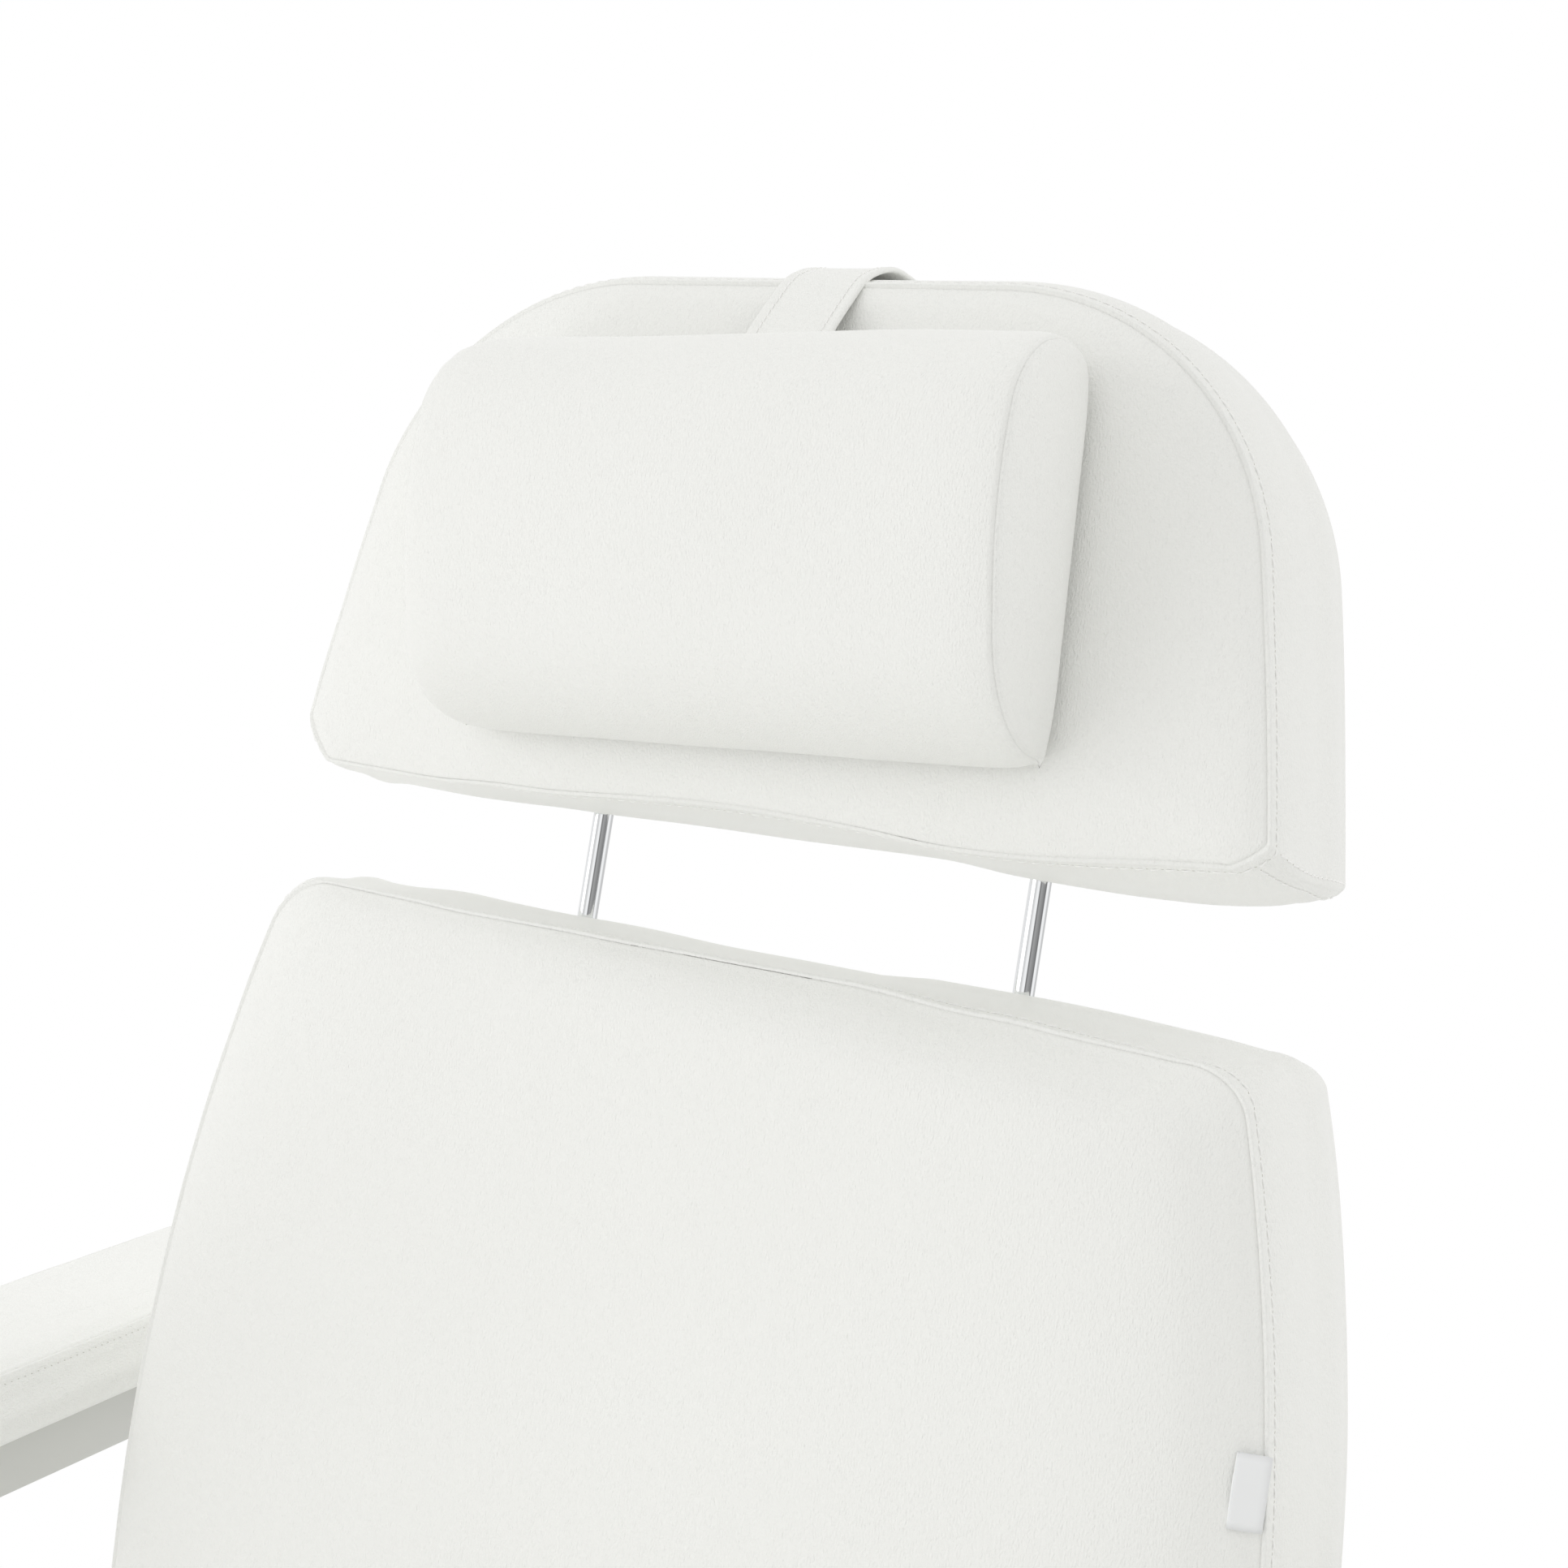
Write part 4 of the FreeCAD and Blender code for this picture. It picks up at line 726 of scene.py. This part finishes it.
def neckPillow():
    tall, deep, half = pillow["height"], pillow["depth"], pillow["half"]
    profile = []
    for bow in pillow["bows"]:
        profile += list(threePointArc(*[(v * tall, n * deep) for v, n in bow], pillow["arcPoints"])[:-1])
    flat = pillow["flatPoints"]
    profile += [np.array((tall * (1 - k / flat), 0.0)) for k in range(flat)]
    closed = np.array(profile + profile[:1])
    run = runAlong(closed)
    columns = pillow["columns"]
    around = np.arange(columns) / columns * run[-1]
    # the wrap has soft edges where it turns to the flat back
    even = np.array([np.interp(around, run, closed[:, k]) for k in range(2)])
    soft = smoothRound(even, (pillow["softEdge"], pillow["softEdge"])).T
    middle = np.array(pillow["middle"]) * (tall, deep)
    # sections along the right half, then mirrored: place, share of the profile, distance from the seam
    right = [(half - d, None, d) for d in pillow["fromEnd"][::-1]]
    right += [(half + pillow["endBulge"] * (1 - d ** 2) ** pillow["endPower"], d * pillow["seamIn"],
               -(1 - d) * pillow["endReach"]) for d in pillow["endRings"]]
    sections = [(-x, share, d) for x, share, d in right[::-1]] + [(0.0, None, half)] + right
    rows = len(sections)
    p = np.zeros((rows, columns, 3))
    away = np.zeros((rows, columns))
    for r, (x, share, d) in enumerate(sections):
        full = 1.0
        if share is None:
            full += pillow["fuller"] * (1 - (x / half) ** 2)
            share = pillow["seamIn"] + (1 - pillow["seamIn"]) * (1 - math.exp(-d / pillow["seamRun"]))
        spot = middle + share * (soft - middle)
        p[r, :, 0] = x
        p[r, :, 1] = spot[:, 0]
        p[r, :, 2] = spot[:, 1] * np.where(spot[:, 1] > 0, full, 1.0)
        away[r] = d
    n = -surfaceNormals(p)
    rippleSeed, lumpSeed = pillow["seeds"]
    ripple = waves(around, 0 * around, 0 * around + rippleSeed, pillow["puckerSize"])[None, :]
    detail = -pillow["groove"] * bell(away, 0, pillow["grooveWidth"])
    detail = detail + (pillow["pucker"] * ripple * np.exp(-np.abs(away) / pillow["puckerRun"])
                       * step(np.abs(away), 0, pillow["puckerFull"]))
    lumps = waves(p[:, :, 0], p[:, :, 1], p[:, :, 2] + lumpSeed, pillow["lumpSize"])
    detail += (pillow["lump"] * lumps * step(away, 0, pillow["lumpsFull"])
               * step(p[:, :, 2], *pillow["lumpsAbove"]))
    p = p + n * detail[:, :, None]
    # loose end of the seam at the lower tip
    fromTip = np.minimum(around, run[-1] - around)
    tip = bell(fromTip, 0, pillow["tipAlong"])[None, :] * bell(away, 0, pillow["tipAcross"])
    p[:, :, 1] -= pillow["tip"] * tip
    # stuffed a little higher and wider towards the left
    p[:, :, 1] += (step(p[:, :, 1] / tall, *pillow["higherOver"])
                   * (pillow["higher"] - pillow["higherLeft"] * p[:, :, 0] / half))
    p[:, :, 0] -= (pillow["wider"] * step(-p[:, :, 0] / half, *pillow["widerOver"])
                   * (1 - step(p[:, :, 1] / tall, *pillow["widerBelow"])))
    p[:, :, 2] = np.maximum(p[:, :, 2], 0.0)
    ends = [(end * (half + pillow["endBulge"]), *middle) for end in (-1, 1)]
    verts = np.vstack((p.reshape(-1, 3), ends))
    faces = tube(rows, columns, flip=True) + fan(0, columns, rows * columns)
    faces += fan((rows - 1) * columns, columns, rows * columns + 1, flip=True)
    turn = math.radians(pillow["tilt"])
    x, v = verts[:, 0].copy(), verts[:, 1] - tall / 2
    verts[:, 0] = pillow["atX"] + x * math.cos(turn) - v * math.sin(turn)
    verts[:, 1] = pillow["foot"] + tall / 2 + x * math.sin(turn) + v * math.cos(turn)
    verts[:, 2] += pillow["back"]
    return addMesh("neckPillow", verts, faces, backFrame, leather["back"])


pillowPiece = neckPillow()
settle(pillowPiece, [], "pillow", "neck_pillow")
print("stage: pillow")

# across holds the rows of points from the middle to an edge, in shares of the half width
strap = {"half": 21.5, "atX": 5.0, "thick": 2.4,
         "path": ((238, 106), (250, 110.5), (261, 109.5), (272.2, 102.1), (283.5, 93.9), (292, 87.2),
                  (298.6, 81.8), (304.2, 75.5), (309.6, 65.6), (313, 56.5), (314.6, 48), (314.9, 40),
                  (314.8, 30), (314.5, 18), (313.5, 5), (308.5, -8), (296, -14.4), (260, -14.6),
                  (205, -14.4)),
         "pathSteps": 10,
         "across": (0.25, 0.5, 0.66, 0.72, 0.74, 0.76, 0.8, 0.87, 0.93, 0.97, 0.992, 1),
         "roundFrom": 0.93, "roundWidth": 0.07, "hem": 0.35, "hemAt": 0.9, "hemWidth": 0.06, "stitchAt": 0.74,
         "stitchDip": 0.3, "stitchWidth": 0.02, "stitchPitch": 4.3, "loose": 0.8, "looseAt": 0.52,
         "looseWidth": 0.16}


def smoothPath(points, each):
    points = [np.array(p, float) for p in points]
    points = [2 * points[0] - points[1]] + points + [2 * points[-1] - points[-2]]
    made = []
    for i in range(1, len(points) - 2):
        a, b, c, d = points[i - 1:i + 3]
        for k in range(each):
            t = k / each
            made.append(0.5 * (2 * b + (c - a) * t + (2 * a - 5 * b + 4 * c - d) * t * t
                               + (3 * b - a - 3 * c + d) * t ** 3))
    made.append(points[-2])
    return np.array(made)


def pathNormals(path):
    along = np.gradient(path, axis=0)
    along /= np.linalg.norm(along, axis=1, keepdims=True)
    return np.stack((-along[:, 1], along[:, 0]), 1)


def pillowStrap():
    path = smoothPath(strap["path"], strap["pathSteps"])
    lift = pathNormals(path)
    half, thick = strap["half"], strap["thick"]
    across = np.array([-x for x in strap["across"][::-1]] + [0.0] + list(strap["across"]))
    fromMiddle = np.abs(across)
    roundEdge = np.maximum(0, (fromMiddle - strap["roundFrom"]) / strap["roundWidth"])
    roundEdge = np.sqrt(np.maximum(0, 1 - roundEdge ** 2))
    top = thick * (0.5 + 0.5 * roundEdge)
    top = top + strap["hem"] * bell(fromMiddle, strap["hemAt"], strap["hemWidth"]) * roundEdge
    top = top - strap["stitchDip"] * bell(fromMiddle, strap["stitchAt"], strap["stitchWidth"])
    under = thick * (0.5 - 0.5 * roundEdge)
    loop = list(zip(across * half, top)) + list(zip(across[-2:0:-1] * half, under[-2:0:-1]))
    rows, columns = len(path), len(loop)
    verts = np.zeros((rows, columns, 3))
    # the right edge stands a little off the headrest, as the strap is laid on loosely
    stand = strap["loose"] * bell(np.arange(rows) / rows, strap["looseAt"], strap["looseWidth"])
    for k, (x, h) in enumerate(loop):
        free = stand * max(0.0, x / half) ** 2
        verts[:, k, 0] = strap["atX"] + x
        verts[:, k, 1:] = path + lift * (h + free)[:, None]
    faces = tube(rows, columns, ends=True)
    piece = addMesh("pillowStrap", verts.reshape(-1, 3), faces, backFrame, leather["back"])
    outside = np.concatenate((np.zeros((rows, 1)), lift), axis=1)
    sewn = []
    for label, edge in (("Right", -1), ("Left", 1)):
        k = int(np.argmin(np.abs(across - edge * strap["stitchAt"])))
        sewn.append(stitches("strapStitches" + label, verts[:, k], outside, backFrame, closed=False,
                             pitch=strap["stitchPitch"]))
    return piece, sewn, runAlong(path)[-1]


strapPiece, strapSewn, strapLength = pillowStrap()
for piece in [strapPiece] + strapSewn:
    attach(piece, "pillow")
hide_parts("pillow_strap")
print("stage: strap", round(strapLength))

tag = {"atX": 283.5, "top": -154.0, "length": 29.0, "width": 13.5, "level": 82.6, "lift": 24.0, "gap": 1.1,
       "open": 1.2, "thick": 0.3, "curl": 1.2, "rows": 9, "foldPoints": 9, "pathSteps": 4}


def sewnTag():
    # folded loop of tape, its two ends held in the seam
    wide, gap, rows = tag["width"], tag["gap"], tag["rows"]
    turns = np.linspace(0, math.pi, tag["foldPoints"])
    fold = [(wide - gap + gap * math.sin(a), gap * (1 - math.cos(a))) for a in turns]
    path = smoothPath([(0, 0)] + fold + [(0, tag["open"] * gap)], tag["pathSteps"])
    side = pathNormals(path) * tag["thick"] / 2
    section = np.vstack((path + side, (path - side)[::-1]))
    turn = math.radians(tag["lift"])
    verts = []
    for part in np.linspace(0, 1, rows):
        v = tag["top"] - tag["length"] * part
        curl = tag["curl"] * math.sin(math.pi * part)
        for a, b in section:
            x = tag["atX"] - a * math.cos(turn) + b * math.sin(turn)
            verts.append((x, v, tag["level"] + a * math.sin(turn) + b * math.cos(turn) + curl * a / wide))
    faces = tube(rows, len(section), flip=True, ends=True)
    return addMesh("sewnTag", verts, faces, backFrame, finishes["label_tape"])


tagPiece = sewnTag()
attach(tagPiece, "backrest")
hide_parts("sewn_tag")
print("stage: tag")

# floor: a pale disc under the chair that fades out before the picture's white ground
floorSize = {"radius": 1.5, "solid": 0.8, "corners": 96, "colour": (0.82, 0.82, 0.81), "rough": 0.7}
floorMaterial, node, links, shader = newMaterial("floorPale")
shader.inputs["Base Color"].default_value = (*floorSize["colour"], 1)
shader.inputs["Roughness"].default_value = floorSize["rough"]
coords = node.new("ShaderNodeTexCoord")
length = node.new("ShaderNodeVectorMath")
length.operation = "LENGTH"
links.new(coords.outputs["Object"], length.inputs[0])
fade = node.new("ShaderNodeMapRange")
fade.inputs["From Min"].default_value = floorSize["solid"]
fade.inputs["From Max"].default_value = floorSize["radius"]
fade.interpolation_type = "SMOOTHSTEP"
links.new(length.outputs["Value"], fade.inputs["Value"])
clear = node.new("ShaderNodeBsdfTransparent")
mix = node.new("ShaderNodeMixShader")
links.new(fade.outputs["Result"], mix.inputs["Fac"])
links.new(shader.outputs["BSDF"], mix.inputs[1])
links.new(clear.outputs["BSDF"], mix.inputs[2])
links.new(mix.outputs["Shader"], node["Material Output"].inputs["Surface"])
turns = [math.tau * k / floorSize["corners"] for k in range(floorSize["corners"])]
rim = [(floorSize["radius"] / mm * math.cos(a), floorSize["radius"] / mm * math.sin(a), 0) for a in turns]
floor = addMesh("floor", rim, [tuple(range(len(rim)))], Matrix.Identity(4), floorMaterial, False)
print("stage: floor")

# white surroundings for the camera; metal sees greys by compass angle; softer light on the rest
world = bpy.data.worlds.new("studio")
bpy.context.scene.world = world
world.use_nodes = True
node, links = world.node_tree.nodes, world.node_tree.links
node.clear()
studio = {"level": 0.81, "behind": 0.53,
          "around": ((-180, 0.66), (-150, 0.82), (-86, 0.9), (-11, 0.7), (0, 1.0), (22, 1.0), (27, 0.16),
                     (45, 0.4), (75, 0.28), (94, 0.18), (101, 1.0), (127, 1.0), (140, 0.62), (180, 0.66)),
          "warmth": (1.0, 0.997, 0.985)}


def mathNode(operation, *inputs):
    made = node.new("ShaderNodeMath")
    made.operation = operation
    for k, value in enumerate(inputs):
        if isinstance(value, (int, float)):
            made.inputs[k].default_value = value
        else:
            links.new(value, made.inputs[k])
    return made.outputs[0]


def background(strength, colour=None):
    made = node.new("ShaderNodeBackground")
    if colour is not None:
        links.new(colour, made.inputs["Color"])
    if isinstance(strength, (int, float)):
        made.inputs["Strength"].default_value = strength
    else:
        links.new(strength, made.inputs["Strength"])
    return made


def mixed(share, first, second):
    made = node.new("ShaderNodeMixShader")
    links.new(share, made.inputs["Fac"])
    links.new(first.outputs[0], made.inputs[1])
    links.new(second.outputs[0], made.inputs[2])
    return made


direction = node.new("ShaderNodeSeparateXYZ")
links.new(node.new("ShaderNodeTexCoord").outputs["Generated"], direction.inputs[0])
compass = mathNode("ARCTAN2", direction.outputs["X"], mathNode("MULTIPLY", direction.outputs["Y"], -1.0))
ramp = node.new("ShaderNodeValToRGB")
links.new(mathNode("MULTIPLY_ADD", compass, 1 / math.tau, 0.5), ramp.inputs["Fac"])
stops = ramp.color_ramp.elements
for k, (angle, grey) in enumerate(studio["around"]):
    stop = stops[k] if k < 2 else stops.new(0.999)  # a new ramp has two stops
    stop.position = angle / 360 + 0.5
    stop.color = (grey, grey, grey, 1)
seen = background(1.0)
seen.inputs["Color"].default_value = (1, 1, 1, 1)
fromBehind = mathNode("MAXIMUM", direction.outputs["Y"], 0.0)
lit = background(mathNode("MULTIPLY_ADD", fromBehind, studio["behind"], studio["level"]))
lit.inputs["Color"].default_value = (*studio["warmth"], 1)
path = node.new("ShaderNodeLightPath")
shown = mathNode("MAXIMUM", path.outputs["Is Camera Ray"], path.outputs["Is Transmission Ray"])
bright = mixed(shown, lit, seen)
whole = mixed(path.outputs["Is Glossy Ray"], bright, background(1.0, ramp.outputs["Color"]))
links.new(whole.outputs[0], node.new("ShaderNodeOutputWorld").inputs["Surface"])

lamps = {"keyLight": {"at": (-2.8, -1.6, 1.9), "target": (0, 0.3, 0.9), "size": 2.4, "power": 13},
         "lowLight": {"at": (-1.4, -1.1, 0.1), "target": (0, 0.5, 1.0), "size": 1.6, "power": 7.5},
         "topLight": {"at": (-0.4, 0.3, 3.0), "target": (0, 0.3, 0.9), "size": 2.0, "power": 2.4}}


def areaLight(name, at, target, size, power):
    data = bpy.data.lights.new(name, "AREA")
    data.shape = "DISK"
    data.size = size
    data.energy = power
    made = bpy.data.objects.new(name, data)
    made.location = at
    made.rotation_euler = (Vector(target) - Vector(at)).to_track_quat("-Z", "Y").to_euler()
    bpy.context.scene.collection.objects.link(made)


for name, lamp in lamps.items():
    areaLight(name, **lamp)

camera = bpy.data.objects.new("camera", bpy.data.cameras.new("camera"))
cameraSpot = {"fromBack": (0.5154, -0.9021, 0.3397), "turn": 30.0, "down": 13.888, "lens": 52.54,
              "sensor": 36.0, "near": 0.02}
turn, down = math.radians(cameraSpot["turn"]), math.radians(cameraSpot["down"])
aim = Vector((-math.sin(turn) * math.cos(down), math.cos(turn) * math.cos(down), -math.sin(down)))
camera.location = backFrame.translation + Vector(cameraSpot["fromBack"])
camera.rotation_euler = aim.to_track_quat("-Z", "Y").to_euler()
camera.data.lens = cameraSpot["lens"]
camera.data.sensor_width = cameraSpot["sensor"]
camera.data.clip_start = cameraSpot["near"]
bpy.context.scene.collection.objects.link(camera)
bpy.context.scene.camera = camera
bpy.context.scene.view_settings.view_transform = "Standard"
print("stage: lights and camera")
